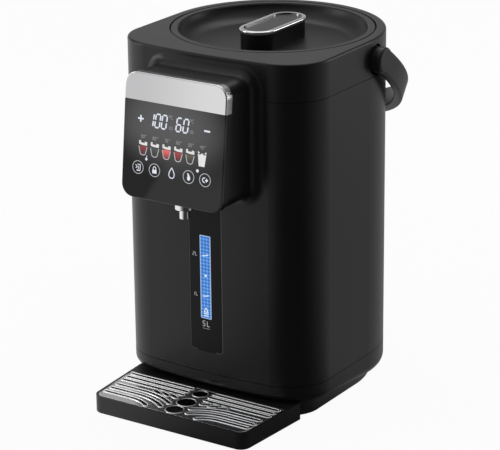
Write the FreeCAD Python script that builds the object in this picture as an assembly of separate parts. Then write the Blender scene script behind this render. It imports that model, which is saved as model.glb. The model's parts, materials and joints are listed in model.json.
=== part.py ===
# Electric thermo pot, a free-standing five litre water boiler with a pumped spout.
# Units are millimetres, +Z is up and the front of the pot faces -Y.
# Every piece is modelled round the upright axis of the water tank, then all of them
# are moved together so that the origin is the bottom centre of the whole object.
import FreeCAD, Part
import os
from math import sqrt, atan2, degrees, cos, sin, tan, radians, pi

V = FreeCAD.Vector
X, Y, Z = V(1, 0, 0), V(0, 1, 0), V(0, 0, 1)
FAR = 400.0

# Body outline in plan: half round at the back, blunt front with round corners
BODY_R = 104.2
FRONT_DEPTH = 116.5
CORNER_R = 42.7
FRONT_ARC_R = 634.0

# Heights of the outer shell
POT_H = 340.0
COLLAR_H = 34.6
COLLAR_Z = POT_H - COLLAR_H
BASE_Z = 36.5
SEAM_H = 0.5
SEAM_DEPTH = 0.9
BASE_EDGE_FRONT_Z = 21.3
BASE_EDGE_BACK_Z = 6.5
BASE_EDGE_R = 9.0
RIM_R = 2.2

# Walls and clearances
CASING_WALL = 2.4
COLLAR_WALL = 2.4
BASE_WALL = 4.0
BASE_FLOOR = 3.0
FIT = 0.1
EASY_FIT = 0.3
RUN_FIT = 0.05

# Foot pan under the base, with its feet
PAN_INSET = 13.0
PAN_Z = 3.0
PAN_FLOOR = 3.0
PAN_WALL = 2.5
PAN_TOP_Z = 30.0
PAN_FRONT_Y = -(FRONT_DEPTH - 20.0)
FOOT_R = 9.0
FEET = ((64.0, -70.0), (54.0, 56.0))
CHASSIS_T = 2.4
POST_R = 4.5
POSTS = ((74.0, -(FRONT_DEPTH - 32.5)), (74.0, -8.0), (64.0, 30.0))
SCREW_R = 1.6
SCREW_HEAD_R = 3.2
SCREW_HEAD_H = 1.8
SCREW_L = 14.0

# Water tank
TANK_R = 90.3
TANK_WALL = 0.8
TANK_FLOOR_Z = 73.0
TANK_CORNER_R = 8.0
FLANGE_R = 98.0
FLANGE_T = 1.0
SEAL_T = 2.0
SHELF_T = 2.0
SHELF_R = 90.8
MOUTH_WALL = 2.2
CASING_FLANGE_T = 2.5
JACKET_T = 5.0
JACKET_Z = (80.0, POT_H - 44.0)
JACKET_GAP_ANGLE = 44.0

# Heater under the tank
HEATER_R = 36.0
HEATER_T = 6.0
HEATER_RING_R = 26.0
HEATER_ROD_R = 3.4
CLAMP_W = 12.0
CLAMP_T = 2.0
THERMOSTAT_R = 8.0
THERMOSTAT_H = 6.0
THERMOSTAT_X = 52.0
SENSOR_R = 3.0
SENSOR_H = 9.0
SENSOR_Y = 52.0
FUSE_R = 2.2
FUSE_L = 18.0
FUSE_Y = 66.0

# Pump, its hoses and the level gauge
PUMP_X = 20.0
RISER_Y = -(FRONT_DEPTH - 17.5)
PUMP_Y = RISER_Y + 41.0
PUMP_R = 22.0
PUMP_H = 13.0
MOTOR_R = 17.0
MOTOR_H = 15.0
PORT_R = 4.0
PORT_BORE_R = 2.6
HOSE_R = 6.0
HOSE_BORE_R = 4.0
PORT_L = 9.0
RISER_TOP_Z = POT_H - 100.0
SPOUT_Z = POT_H - 78.0
SPOUT_TURN_Y = -(FRONT_DEPTH + 9.5)
PIPE_R = 4.0
PIPE_BORE_R = 3.0
PIPE_BEND_R = 8.0
GAUGE_Y = -(FRONT_DEPTH - 8.3)
GAUGE_R = 4.0
GAUGE_BORE_R = 3.0
GAUGE_Z = (62.0, POT_H - 50.0)
GAUGE_FEED_Y = -80.0
GAUGE_FEED_Z = 55.0
GAUGE_VENT_Z = POT_H - 43.0
GAUGE_BEND_R = 4.5
STRAINER_R = 10.0
STRAINER_H = 4.0

# Level strip on the front
STRIP_W = 36.0
STRIP_Z = 57.0
STRIP_CORNER_R = 3.5
STRIP_POCKET = 1.4
STRIP_SUNK = 0.3
WINDOW_W = 11.5
WINDOW_Z = (89.4, 170.2)
LED_BOARD_T = 1.2
LED_BOARD_W = 6.0

# Control head
HEAD_W = 107.8
HEAD_TOP = (-(FRONT_DEPTH + 40.2), POT_H - 12.1)
HEAD_BOTTOM = (-(FRONT_DEPTH + 52.4), POT_H - 124.9)
HEAD_CORNER_R = 12.0
UNIT_DEPTH = 9.0
UNIT_EDGE_R = 1.2
GLASS_T = 2.2
BAND_H = 25.0
BAND_T = 1.5
UNIT_WALL = 2.5
UNIT_GAP = 0.6
LIP_T = 1.6
HOUSING_STEP = 0.6
HOUSING_WALL = 2.5
FLARE_R = 10.0
HEAD_BOSS_X = 47.0
HEAD_BOSS_R = 4.5
HEAD_BOSS_L = 22.0
HEAD_SCREW_ZS = (POT_H - 108.0, POT_H - 48.0)
DISPLAY_T = 1.6
DISPLAY_W = 88.0
DISPLAY_H = 72.0
DISPLAY_Z = 9.0
NOZZLE_Y = -(FRONT_DEPTH + 31.0)
NOZZLE_R = 8.5
NOZZLE_TIP_R = 4.6
NOZZLE_Z = POT_H - 143.5
NOZZLE_TIP_H = 6.5
NOZZLE_TAPER_H = 2.5
NOZZLE_BORE_R = 3.2
NOZZLE_SPIGOT_R = 4.6
NOZZLE_SPIGOT_H = 8.0
NOZZLE_SEAL_R = 8.0
NOZZLE_SEAL_T = 2.0

# Lid with its grip
LID_R = 94.6
LID_GAP = 0.8
LID_HOLE_R = LID_R + LID_GAP
DISH_R = 87.5
DISH_Z = POT_H - 14.5
DISH_FLAT_R = 72.0
LID_T = 2.4
LID_RIM_T = 2.4
LID_EDGE_R = 1.0
COVER_FLANGE_T = 2.0
PLUG_R = 89.6
PLUG_Z = POT_H - 39.0
PLUG_WALL = 2.2
GASKET_Z = (POT_H - 36.0, POT_H - 33.0)
GASKET_R = 90.05
LID_SCREW_AT = 42.0
LID_BOSS_R = 4.5
GRIP_HALF = 24.2
GRIP_R = 17.7
GRIP_STEP = 1.0
GRIP_TOP_Z = POT_H + 4.0
RING_H = 3.0
RING_W = 3.8
INLAY_SUNK = 1.2
INLAY_T = 1.5
GRIP_SCREW_Y = 20.0

# Carry handle, lowered behind the pot
PIVOT_Y = 12.0
PIVOT_Z = POT_H - 20.0
HANDLE_TILT = 35.0
HANDLE_CENTRE_Y = 17.0
HANDLE_GAP = 1.8
HANDLE_T = 8.0
HANDLE_INNER_R = BODY_R + HANDLE_GAP
HANDLE_OUTER_R = HANDLE_INNER_R + HANDLE_T
HANDLE_W = 23.0
HANDLE_EDGE_R = 2.8
BOSS_R = 12.2
RECESS_R = 14.4
RECESS_DEPTH = 4.8
RECESS_X = BODY_R - RECESS_DEPTH
PIN_R = 4.0
PIN_COVER = 5.0
PIN_X = HANDLE_OUTER_R - PIN_COVER

# Drip tray and its grille
TRAY_FRONT_Y = -(FRONT_DEPTH + 66.0)
TRAY_BACK_Y = -(FRONT_DEPTH - 19.5)
TRAY_FRONT_W = 167.0
TRAY_BACK_W = 178.6
TRAY_TOP_Z = 18.8
TRAY_Z = 2.0
TRAY_WALL = 4.6
TRAY_FLOOR = 2.4
TRAY_CORNER_R = 10.0
TRAY_RIM = 2.2
TRAY_PAD_R = 6.0
TRAY_PAD_X = 66.0
TRAY_PAD_Y = TRAY_FRONT_Y + 16.5
TONGUE_X = 50.0
TONGUE_W = 16.0
TONGUE_H = 5.0
TONGUE_L = 12.0
TONGUE_Z = 8.0
GRILLE_T = 1.2
GRILLE_SUNK = 0.3
GRILLE_BACK_Y = -(FRONT_DEPTH + 0.7)
SLOT_W = 3.2
REAR_SLOT_YS = (-121.6, -129.4, -137.2)
REAR_SLOT_X = (13.0, 80.0)
CURVED_SLOTS = ((-149.0, 12.0, -160.0), (-158.5, 15.0, -169.5), (-168.0, 28.0, -175.0))
CURVED_SLOT_X = (48.0, 78.0)
DASH_XS = (17.5, 26.5, 36.0)
DASH_Y = -144.6
DASH_L = 6.5
DASH_TURN = 24.0
CUP_HOLES = ((-127.6, 7.0), (-150.0, 8.6), (-169.0, 8.0))

# Electronics and the mains inlet
BOARD_W = 84.0
BOARD_L = 62.0
BOARD_T = 1.6
BOARD_Y = 20.0
BOARD_Z = 14.0
STANDOFF_R = 3.5
STANDOFF_INSET = 7.0
TRANSFORMER = (28.0, 24.0, 16.0)
RELAY = (16.0, 12.0, 14.0)
INLET_W = 34.0
INLET_H = 25.0
INLET_Z = 56.0
INLET_DEPTH = 20.0
SOCKET_W = 26.0
SOCKET_H = 17.0
SOCKET_DEPTH = 14.0
INLET_PIN_R = 1.8
INLET_PIN_L = 11.0
INLET_PIN_GAP = 7.0

# Values that follow from the sizes above
TILT_C = cos(radians(HANDLE_TILT))
SHELF_Z = COLLAR_Z + FLANGE_T + SEAL_T
PANEL_H = sqrt((HEAD_TOP[1] - HEAD_BOTTOM[1]) ** 2 + (HEAD_TOP[0] - HEAD_BOTTOM[0]) ** 2)
PANEL_TILT = degrees(atan2(HEAD_TOP[0] - HEAD_BOTTOM[0], HEAD_TOP[1] - HEAD_BOTTOM[1]))
BAND_START = PANEL_H - BAND_H
UNIT_DROP = UNIT_DEPTH * sin(radians(PANEL_TILT))
HOUSING_BOTTOM_Z = HEAD_BOTTOM[1] - UNIT_DROP + HOUSING_STEP
HOUSING_TOP_Z = HEAD_TOP[1] - UNIT_DROP - HOUSING_STEP
TANK_OUT_R = TANK_R + TANK_WALL
CHASSIS_Z = BASE_Z
PAN_TOP_OF_FLOOR = PAN_Z + PAN_FLOOR
LEDGE_Z = TRAY_TOP_Z - GRILLE_SUNK - GRILLE_T


def box(x0, x1, y0, y1, z0, z1):
    """A box between two corners."""
    return Part.makeBox(x1 - x0, y1 - y0, z1 - z0, V(x0, y0, z0))


def rod(radius, x, y, z0, z1):
    """An upright round bar."""
    return Part.makeCylinder(radius, z1 - z0, V(x, y, z0), Z)


def bar(radius, start, axis, length):
    """A round bar from a point along an axis."""
    return Part.makeCylinder(radius, length, start, axis)


def ring(outer, inner, z0, z1):
    """A ring round the tank axis."""
    return rod(outer, 0, 0, z0, z1).cut(rod(inner, 0, 0, z0 - 1, z1 + 1))


def joined(shapes):
    """One solid out of overlapping ones."""
    first = shapes[0]
    if len(shapes) == 1:
        return first
    return first.fuse(shapes[1:]).removeSplitter()


def both_sides(shape):
    """A shape with its mirror image across the YZ plane."""
    return [shape, shape.mirror(V(0, 0, 0), X)]


def outline(inset):
    """The body's plan, moved inwards, as a face at z=0."""
    r = BODY_R - inset
    corner = CORNER_R - inset
    front = FRONT_ARC_R - inset
    centre_y = FRONT_ARC_R - FRONT_DEPTH
    cx = r - corner
    cy = centre_y - sqrt((front - corner) ** 2 - cx ** 2)
    k = front / (front - corner)
    touch = V(cx * k, centre_y + (cy - centre_y) * k, 0)
    mid = V(cx, cy, 0) + (V(r, cy, 0) + touch - V(cx, cy, 0) * 2).normalize() * corner
    flip = lambda p: V(-p.x, p.y, 0)
    edges = [
        Part.LineSegment(V(r, cy, 0), V(r, 0, 0)).toShape(),
        Part.Arc(V(r, 0, 0), V(0, r, 0), V(-r, 0, 0)).toShape(),
        Part.LineSegment(V(-r, 0, 0), V(-r, cy, 0)).toShape(),
        Part.Arc(V(-r, cy, 0), flip(mid), flip(touch)).toShape(),
        Part.Arc(flip(touch), V(0, centre_y - front, 0), touch).toShape(),
        Part.Arc(touch, mid, V(r, cy, 0)).toShape(),
    ]
    return Part.Face(Part.Wire(edges))


def slab(inset, z0, z1):
    """The body's plan between two heights."""
    face = outline(inset)
    face.translate(V(0, 0, z0))
    return face.extrude(V(0, 0, z1 - z0))


def wall(outer_inset, inner_inset, z0, z1):
    """A wall that follows the body's plan."""
    return slab(outer_inset, z0, z1).cut(slab(inner_inset, z0 - 1, z1 + 1))


def revolved(points):
    """A solid turned round the tank axis from points of radius and height; a point with
    four numbers is an arc's middle and end."""
    edges = []
    last = points[0]
    for p in list(points[1:]) + [points[0]]:
        a = V(last[-2], 0, last[-1])
        b = V(p[-2], 0, p[-1])
        if len(p) == 4:
            edges.append(Part.Arc(a, V(p[0], 0, p[1]), b).toShape())
        elif a.distanceToPoint(b) > 1e-6:
            edges.append(Part.LineSegment(a, b).toShape())
        last = p
    return Part.Face(Part.Wire(edges)).revolve(V(0, 0, 0), Z, 360)


def route(points, bend):
    """A path of straight runs joined by tangent arcs."""
    edges = []
    start = points[0]
    for before, at, after in zip(points, points[1:], points[2:]):
        u = (before - at).normalize()
        w = (after - at).normalize()
        half = u.getAngle(w) / 2
        back = bend / tan(half)
        a = at + u * back
        b = at + w * back
        middle = at + (u + w).normalize() * (bend / sin(half) - bend)
        edges.append(Part.LineSegment(start, a).toShape())
        edges.append(Part.Arc(a, middle, b).toShape())
        start = b
    edges.append(Part.LineSegment(start, points[-1]).toShape())
    return Part.Wire(edges)


def pipe(points, outer, inner, bend):
    """A bent tube with its bore."""
    spine = route(points, bend)
    heading = (points[1] - points[0]).normalize()
    solids = []
    for radius in (outer, inner):
        circle = Part.Wire(Part.makeCircle(radius, points[0], heading))
        solids.append(spine.makePipeShell([circle], True, True))
    return solids[0].cut(solids[1])


def rounded_rectangle(half_w, z0, z1, r, y):
    """An upright face across the pot with four round corners."""
    k = r * (1 - 1 / sqrt(2))
    corners = [(half_w, z0), (half_w, z1), (-half_w, z1), (-half_w, z0)]
    edges = []
    ends = []
    for i, (cx, cz) in enumerate(corners):
        sx = -1 if cx > 0 else 1
        sz = 1 if cz == z0 else -1
        on_x = V(cx + sx * r, y, cz)
        on_z = V(cx, y, cz + sz * r)
        first, last = (on_x, on_z) if i % 2 == 0 else (on_z, on_x)
        edges.append(Part.Arc(first, V(cx + sx * k, y, cz + sz * k), last).toShape())
        ends.append((first, last))
    for i in range(4):
        a = ends[i][1]
        b = ends[(i + 1) % 4][0]
        edges.append(Part.LineSegment(a, b).toShape())
    return Part.Face(Part.Wire(Part.__sortEdges__(edges)))


def stadium(half, r, z0, z1):
    """A long round-ended block along Y on the tank axis."""
    shapes = [rod(r, 0, -half, z0, z1), rod(r, 0, half, z0, z1), box(-r, r, -half, half, z0, z1)]
    return joined(shapes)


def edges_at_height(shape, z):
    """The edges that lie flat at one height."""
    return [e for e in shape.Edges
            if abs(e.BoundBox.ZMin - z) < 1e-4 and abs(e.BoundBox.ZMax - z) < 1e-4]


def screw(x, y, z, up):
    """An upright screw whose head's inner face is at z."""
    if up:
        head = rod(SCREW_HEAD_R, x, y, z - SCREW_HEAD_H, z)
        return joined([head, rod(SCREW_R, x, y, z - 0.5, z + SCREW_L)])
    head = rod(SCREW_HEAD_R, x, y, z, z + SCREW_HEAD_H)
    return joined([head, rod(SCREW_R, x, y, z - SCREW_L, z + 0.5)])


# Base of the pot

def below_base_edge(lift):
    """Everything under the base's slanted lower edge, raised by a lift."""
    y0 = -FRONT_DEPTH
    slope = (BASE_EDGE_BACK_Z - BASE_EDGE_FRONT_Z) / (BODY_R + FRONT_DEPTH)
    front = BASE_EDGE_FRONT_Z + lift - slope * FAR
    back = BASE_EDGE_FRONT_Z + lift + slope * FAR
    low = -FAR
    corners = [V(-FAR, y0 - FAR, low), V(-FAR, y0 + FAR, low), V(-FAR, y0 + FAR, back),
               V(-FAR, y0 - FAR, front), V(-FAR, y0 - FAR, low)]
    return Part.Face(Part.makePolygon(corners)).extrude(V(2 * FAR, 0, 0))


def base_block(inset, lift, top, edge_r):
    """The base's outside, or with an inset and a lift its inside."""
    block = slab(inset, 0, top).cut(below_base_edge(lift))
    lower = [e for e in block.Edges if e.BoundBox.ZMax < BASE_EDGE_FRONT_Z + lift + 1]
    return block.makeFillet(edge_r, lower)


def pan_outline(inset, z0, z1):
    """The foot pan's plan with its straight front."""
    front = box(-FAR, FAR, PAN_FRONT_Y + inset, FAR, z0, z1)
    return slab(PAN_INSET + inset, z0, z1).common(front)


def base_housing():
    shell = base_block(0, 0, BASE_Z, BASE_EDGE_R)
    hollow = base_block(BASE_WALL, BASE_FLOOR, BASE_Z + 1, BASE_EDGE_R - BASE_FLOOR)
    seam = wall(-1, SEAM_DEPTH, BASE_Z - SEAM_H, BASE_Z + 1)
    mouth = pan_outline(-FIT, 0, BASE_Z)
    return shell.cut([hollow, seam, mouth])


def post_places():
    return [(side * x, y) for side in (-1, 1) for x, y in POSTS]


def foot_places():
    return [(side * x, y) for side in (-1, 1) for x, y in FEET]


def foot_pan():
    pan = pan_outline(0, PAN_Z, PAN_TOP_Z).cut(pan_outline(PAN_WALL, PAN_TOP_OF_FLOOR, FAR))
    cuts = []
    for x, y in post_places():
        cuts.append(rod(SCREW_R + FIT, x, y, 0, FAR))
        cuts.append(rod(SCREW_HEAD_R + FIT, x, y, 0, PAN_Z + SCREW_HEAD_H))
    for side in (-1, 1):
        x = side * TONGUE_X
        half = TONGUE_W / 2 + EASY_FIT
        cuts.append(box(x - half, x + half, PAN_FRONT_Y - 1, PAN_FRONT_Y + PAN_WALL + 1,
                        TONGUE_Z - EASY_FIT, TONGUE_Z + TONGUE_H + EASY_FIT))
    low, high = pump_levels()
    notch = HOSE_R + EASY_FIT
    cuts.append(box(PUMP_X - notch, PUMP_X + notch, PAN_FRONT_Y - 1, PAN_FRONT_Y + PAN_WALL + 1,
                    (low + high) / 2 - notch, FAR))
    return pan.cut(cuts)


def chassis_plate():
    plate = slab(CASING_WALL + FIT, CHASSIS_Z, CHASSIS_Z + CHASSIS_T)
    posts = [rod(POST_R, x, y, PAN_TOP_OF_FLOOR, CHASSIS_Z + 1) for x, y in post_places()]
    body = joined([plate] + posts)
    cuts = [rod(SCREW_R + 0.02, x, y, 0, PAN_Z + SCREW_HEAD_H + SCREW_L + 1)
            for x, y in post_places()]
    cuts.append(rod(HOSE_R + EASY_FIT, PUMP_X, PUMP_Y, 0, FAR))
    cuts.append(rod(HOSE_R + EASY_FIT, PUMP_X, RISER_Y, 0, FAR))
    return body.cut(cuts)


def base_screws():
    return Part.makeCompound([screw(x, y, PAN_Z + SCREW_HEAD_H, True) for x, y in post_places()])


def rubber_feet():
    return Part.makeCompound([rod(FOOT_R, x, y, 0, PAN_Z) for x, y in foot_places()])


# Outer shell

def head_screw_places():
    return [(side * HEAD_BOSS_X, z) for side in (-1, 1) for z in HEAD_SCREW_ZS]


def body_casing():
    shell = wall(0, CASING_WALL, BASE_Z, COLLAR_Z)
    top = slab(CASING_WALL - 0.2, COLLAR_Z - CASING_FLANGE_T, COLLAR_Z)
    shell = joined([shell, top.cut(rod(TANK_OUT_R + EASY_FIT, 0, 0, 0, FAR))])
    seam = wall(-1, SEAM_DEPTH, COLLAR_Z - SEAM_H, COLLAR_Z + 1)
    cuts = [seam, strip_space(STRIP_W / 2, STRIP_Z, -1, STRIP_POCKET)]
    window = box(-WINDOW_W / 2, WINDOW_W / 2, -FAR, 0, WINDOW_Z[0], WINDOW_Z[1])
    cuts.append(window)
    cuts.append(bar(PIPE_R + 1, V(PUMP_X, 0, SPOUT_Z), -Y, FAR))
    cuts.append(inlet_block(0))
    for x, z in head_screw_places():
        cuts.append(bar(SCREW_R + FIT, V(x, 0, z), -Y, FAR))
    return shell.cut(cuts)


def strip_space(half_w, z0, outer_inset, inner_inset):
    """The strip's space between two insets of the front wall."""
    face = rounded_rectangle(half_w, z0, HOUSING_BOTTOM_Z + 30, STRIP_CORNER_R, -FAR)
    column = face.extrude(V(0, FAR, 0))
    return wall(outer_inset, inner_inset, z0 - 1, HOUSING_BOTTOM_Z).common(column)


def level_strip_panel():
    panel = strip_space(STRIP_W / 2 - FIT, STRIP_Z + FIT, STRIP_SUNK, STRIP_POCKET)
    return panel.cut(box(-WINDOW_W / 2, WINDOW_W / 2, -FAR, 0, WINDOW_Z[0], WINDOW_Z[1]))


def level_window():
    half = WINDOW_W / 2 - RUN_FIT
    block = box(-half, half, -FAR, 0, WINDOW_Z[0] + RUN_FIT, WINDOW_Z[1] - RUN_FIT)
    return wall(STRIP_SUNK, CASING_WALL, 0, FAR).common(block)


def upper_collar():
    """The top cap: outer wall, top face, lid mouth and shelf, with a dished seat at each pivot."""
    block = slab(0, COLLAR_Z, POT_H)
    block = block.makeFillet(RIM_R, edges_at_height(block, POT_H))
    mouth = rod(LID_HOLE_R + MOUTH_WALL, 0, 0, COLLAR_Z - 2, FAR)
    seats = both_sides(bar(RECESS_R + 2, V(LID_HOLE_R - 6, PIVOT_Y, PIVOT_Z), X, 30))
    hollow = slab(COLLAR_WALL, COLLAR_Z - 1, POT_H - COLLAR_WALL).cut([mouth] + seats)
    floor = rod(LID_HOLE_R + MOUTH_WALL + 1, 0, 0, COLLAR_Z - 1, SHELF_Z)
    floor = floor.cut(wall(-1, COLLAR_WALL, COLLAR_Z - 2, FAR))
    block = block.cut(hollow).cut(floor)
    block = block.cut([rod(LID_HOLE_R, 0, 0, SHELF_Z + SHELF_T, FAR), rod(SHELF_R, 0, 0, 0, FAR)])
    cuts = both_sides(bar(RECESS_R, V(RECESS_X, PIVOT_Y, PIVOT_Z), X, 20))
    cuts += both_sides(bar(PIN_R + 0.02, V(SHELF_R - 1, PIVOT_Y, PIVOT_Z), X, 20))
    return block.cut(cuts)


# Carry handle

def handle_pivot_pins():
    pin = bar(PIN_R, V(RECESS_X - 2.5, PIVOT_Y, PIVOT_Z), X, PIN_X - RECESS_X + 2.5)
    return Part.makeCompound(both_sides(pin.cut(rod(LID_HOLE_R, 0, 0, 0, FAR))))


def bail_face(forward, half_w):
    """The bail in plan: two straight arms and a half-oval between two ovals."""
    outlines = []
    for r in (HANDLE_OUTER_R, HANDLE_INNER_R):
        oval = Part.Ellipse(V(0, r / TILT_C, 0), V(r, 0, 0), V(0, 0, 0))
        arc = Part.ArcOfEllipse(oval, -pi / 2, pi / 2).toShape()
        arc.translate(V(0, forward, -half_w))
        outlines.append(arc)
    z = -half_w
    edges = list(outlines)
    for side in (-1, 1):
        outer = side * HANDLE_OUTER_R
        inner = side * HANDLE_INNER_R
        edges.append(Part.LineSegment(V(outer, 0, z), V(outer, forward, z)).toShape())
        edges.append(Part.LineSegment(V(inner, 0, z), V(inner, forward, z)).toShape())
        edges.append(Part.LineSegment(V(inner, 0, z), V(outer, 0, z)).toShape())
    return Part.Face(Part.Wire(Part.__sortEdges__(edges)))


def carry_handle():
    """A round bail, made flat behind its pivots and then lowered by the tilt."""
    forward = (HANDLE_CENTRE_Y - PIVOT_Y) / TILT_C
    half = HANDLE_W / 2
    band = bail_face(forward, half).extrude(V(0, 0, HANDLE_W))
    long_edges = [e for e in band.Edges if e.BoundBox.ZLength < 1e-4 and e.BoundBox.YMax > 0.1]
    band = band.makeFillet(HANDLE_EDGE_R, long_edges)
    disc = bar(BOSS_R, V(RECESS_X + EASY_FIT, 0, 0), X, HANDLE_OUTER_R - RECESS_X - EASY_FIT)
    rim = [e for e in disc.Edges if abs(e.BoundBox.XMin - HANDLE_OUTER_R) < 1e-4
           and e.BoundBox.XLength < 1e-4]
    disc = disc.makeFillet(HANDLE_EDGE_R, rim)
    body = joined([band] + both_sides(disc))
    body = body.cut(both_sides(bar(PIN_R + RUN_FIT, V(RECESS_X, 0, 0), X, PIN_X - RECESS_X + EASY_FIT)))
    body.rotate(V(0, 0, 0), X, -HANDLE_TILT)
    body.translate(V(0, PIVOT_Y, PIVOT_Z))
    return body


# Water tank and heater

def inner_tank():
    outside = rod(TANK_OUT_R, 0, 0, TANK_FLOOR_Z, COLLAR_Z + FLANGE_T)
    outside = outside.makeFillet(TANK_CORNER_R, edges_at_height(outside, TANK_FLOOR_Z))
    inside = rod(TANK_R, 0, 0, TANK_FLOOR_Z + TANK_WALL, FAR)
    inside = inside.makeFillet(TANK_CORNER_R - TANK_WALL,
                               edges_at_height(inside, TANK_FLOOR_Z + TANK_WALL))
    flange = rod(FLANGE_R - EASY_FIT, 0, 0, COLLAR_Z, COLLAR_Z + FLANGE_T)
    tank = joined([outside, flange]).cut(inside)
    outlet = rod(PORT_R, PUMP_X, PUMP_Y, TANK_FLOOR_Z - PORT_L, TANK_FLOOR_Z + 0.3)
    feed = rod(PIPE_R, 0, GAUGE_FEED_Y, TANK_FLOOR_Z - 2, TANK_FLOOR_Z + 0.3)
    tank = joined([tank, outlet, feed])
    return tank.cut([rod(PORT_BORE_R, PUMP_X, PUMP_Y, 0, TANK_FLOOR_Z + 5),
                     rod(PORT_BORE_R, 0, GAUGE_FEED_Y, 0, TANK_FLOOR_Z + 5),
                     bar(PORT_BORE_R, V(0, -TANK_R + 2, GAUGE_VENT_Z), -Y, 5)])


def tank_rim_seal():
    return ring(FLANGE_R - EASY_FIT, TANK_R, COLLAR_Z + FLANGE_T, SHELF_Z)


def outlet_strainer():
    z = TANK_FLOOR_Z + TANK_WALL
    cup = rod(STRAINER_R, PUMP_X, PUMP_Y, z, z + STRAINER_H)
    cup = cup.cut(rod(STRAINER_R - 1, PUMP_X, PUMP_Y, z - 1, z + STRAINER_H - 1))
    holes = []
    for i in range(8):
        a = 2 * pi * i / 8
        holes.append(rod(1.0, PUMP_X + 6 * cos(a), PUMP_Y + 6 * sin(a), z, FAR))
    return cup.cut(holes)


def insulation_jacket():
    """A felt sleeve, open at the front where the water pipes run."""
    sleeve = ring(TANK_OUT_R + EASY_FIT + JACKET_T, TANK_OUT_R + EASY_FIT, *JACKET_Z)
    reach = FAR * tan(radians(JACKET_GAP_ANGLE / 2))
    corners = [V(0, 0, 0), V(-reach, -FAR, 0), V(reach, -FAR, 0), V(0, 0, 0)]
    gap = Part.Face(Part.makePolygon(corners)).extrude(V(0, 0, FAR))
    return sleeve.cut(gap)


def heater_plate():
    return rod(HEATER_R, 0, 0, TANK_FLOOR_Z - HEATER_T, TANK_FLOOR_Z)


def heater_element():
    z = TANK_FLOOR_Z - HEATER_T - HEATER_ROD_R
    loop = Part.makeTorus(HEATER_RING_R, HEATER_ROD_R, V(0, 0, z), Z)
    ends = []
    for side in (-1, 1):
        ends.append(rod(HEATER_ROD_R, side * 6, HEATER_RING_R - 0.5, z - 14, z))
    return joined([loop] + ends)


def heater_clamp():
    """A cross strap under the element with its centre bolt."""
    z1 = TANK_FLOOR_Z - HEATER_T - 2 * HEATER_ROD_R
    strap = box(-HEATER_R, HEATER_R, -CLAMP_W / 2, CLAMP_W / 2, z1 - CLAMP_T, z1)
    bolt = rod(3.0, 0, 0, z1 - CLAMP_T - 3, TANK_FLOOR_Z - HEATER_T)
    return joined([strap, bolt])


def thermostats():
    z = TANK_FLOOR_Z
    shapes = []
    for side in (-1, 1):
        can = rod(THERMOSTAT_R, side * THERMOSTAT_X, 0, z - THERMOSTAT_H, z)
        tabs = box(side * THERMOSTAT_X - 4, side * THERMOSTAT_X + 4, -0.4, 0.4,
                   z - THERMOSTAT_H - 6, z - THERMOSTAT_H + 0.5)
        shapes.append(joined([can, tabs]))
    return Part.makeCompound(shapes)


def temperature_sensor():
    return rod(SENSOR_R, 0, SENSOR_Y, TANK_FLOOR_Z - SENSOR_H, TANK_FLOOR_Z)


def thermal_fuse():
    start = V(-FUSE_L / 2, FUSE_Y, TANK_FLOOR_Z - FUSE_R)
    return bar(FUSE_R, start, X, FUSE_L)


def tank_supports():
    """Three legs between the chassis and the tank floor."""
    legs = []
    for i in range(3):
        a = radians(30 + 120 * i)
        legs.append(rod(6.0, 64 * cos(a), 64 * sin(a), CHASSIS_Z + CHASSIS_T, TANK_FLOOR_Z))
    return Part.makeCompound(legs)


# Pump and water path

def pump_motor():
    can = rod(MOTOR_R, PUMP_X, PUMP_Y, PAN_TOP_OF_FLOOR, PAN_TOP_OF_FLOOR + MOTOR_H)
    return can.makeFillet(1.5, edges_at_height(can, PAN_TOP_OF_FLOOR + MOTOR_H))


def pump_levels():
    low = PAN_TOP_OF_FLOOR + MOTOR_H
    return low, low + PUMP_H


def pump_housing():
    low, high = pump_levels()
    drum = rod(PUMP_R, PUMP_X, PUMP_Y, low, high)
    inlet = rod(PORT_R, PUMP_X, PUMP_Y, high - 0.5, high + PORT_L)
    mid = (low + high) / 2
    reach = PUMP_Y - PUMP_R - RISER_Y - HOSE_BORE_R - 4
    outlet = bar(PORT_R, V(PUMP_X, PUMP_Y - PUMP_R + 1, mid), -Y, reach)
    bores = [rod(PORT_BORE_R, PUMP_X, PUMP_Y, mid, FAR),
             bar(PORT_BORE_R, V(PUMP_X, PUMP_Y, mid), -Y, FAR)]
    return joined([drum, inlet, outlet]).cut(bores)


def pump_bracket():
    """A strap over the motor's sides with two screwed ears."""
    z = PAN_TOP_OF_FLOOR
    side = MOTOR_R + EASY_FIT
    band = rod(side + 2, PUMP_X, PUMP_Y, z, z + 9)
    ears = box(PUMP_X - side - 11, PUMP_X + side + 11, PUMP_Y - 6, PUMP_Y + 6, z, z + 2)
    return joined([band, ears]).cut(rod(side, PUMP_X, PUMP_Y, 0, FAR))


def suction_hose():
    z0 = pump_levels()[1] + 0.3
    z1 = TANK_FLOOR_Z - 0.3
    hose = rod(HOSE_R, PUMP_X, PUMP_Y, z0, z1)
    return hose.cut(rod(PORT_R, PUMP_X, PUMP_Y, 0, FAR))


def riser_hose():
    low, high = pump_levels()
    mid = (low + high) / 2
    points = [V(PUMP_X, PUMP_Y - PUMP_R - 0.5, mid), V(PUMP_X, RISER_Y, mid),
              V(PUMP_X, RISER_Y, RISER_TOP_Z)]
    return pipe(points, HOSE_R, HOSE_BORE_R, PIPE_BEND_R)


def spout_pipe():
    points = [V(PUMP_X, RISER_Y, RISER_TOP_Z - PORT_L), V(PUMP_X, RISER_Y, SPOUT_Z),
              V(PUMP_X, SPOUT_TURN_Y, SPOUT_Z), V(0, NOZZLE_Y, SPOUT_Z),
              V(0, NOZZLE_Y, HOUSING_BOTTOM_Z + NOZZLE_SPIGOT_H)]
    return pipe(points, PIPE_R, PIPE_BORE_R, PIPE_BEND_R)


def level_tube():
    tube = rod(GAUGE_R, 0, GAUGE_Y, *GAUGE_Z)
    return tube.cut(rod(GAUGE_BORE_R, 0, GAUGE_Y, 0, FAR))


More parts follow.
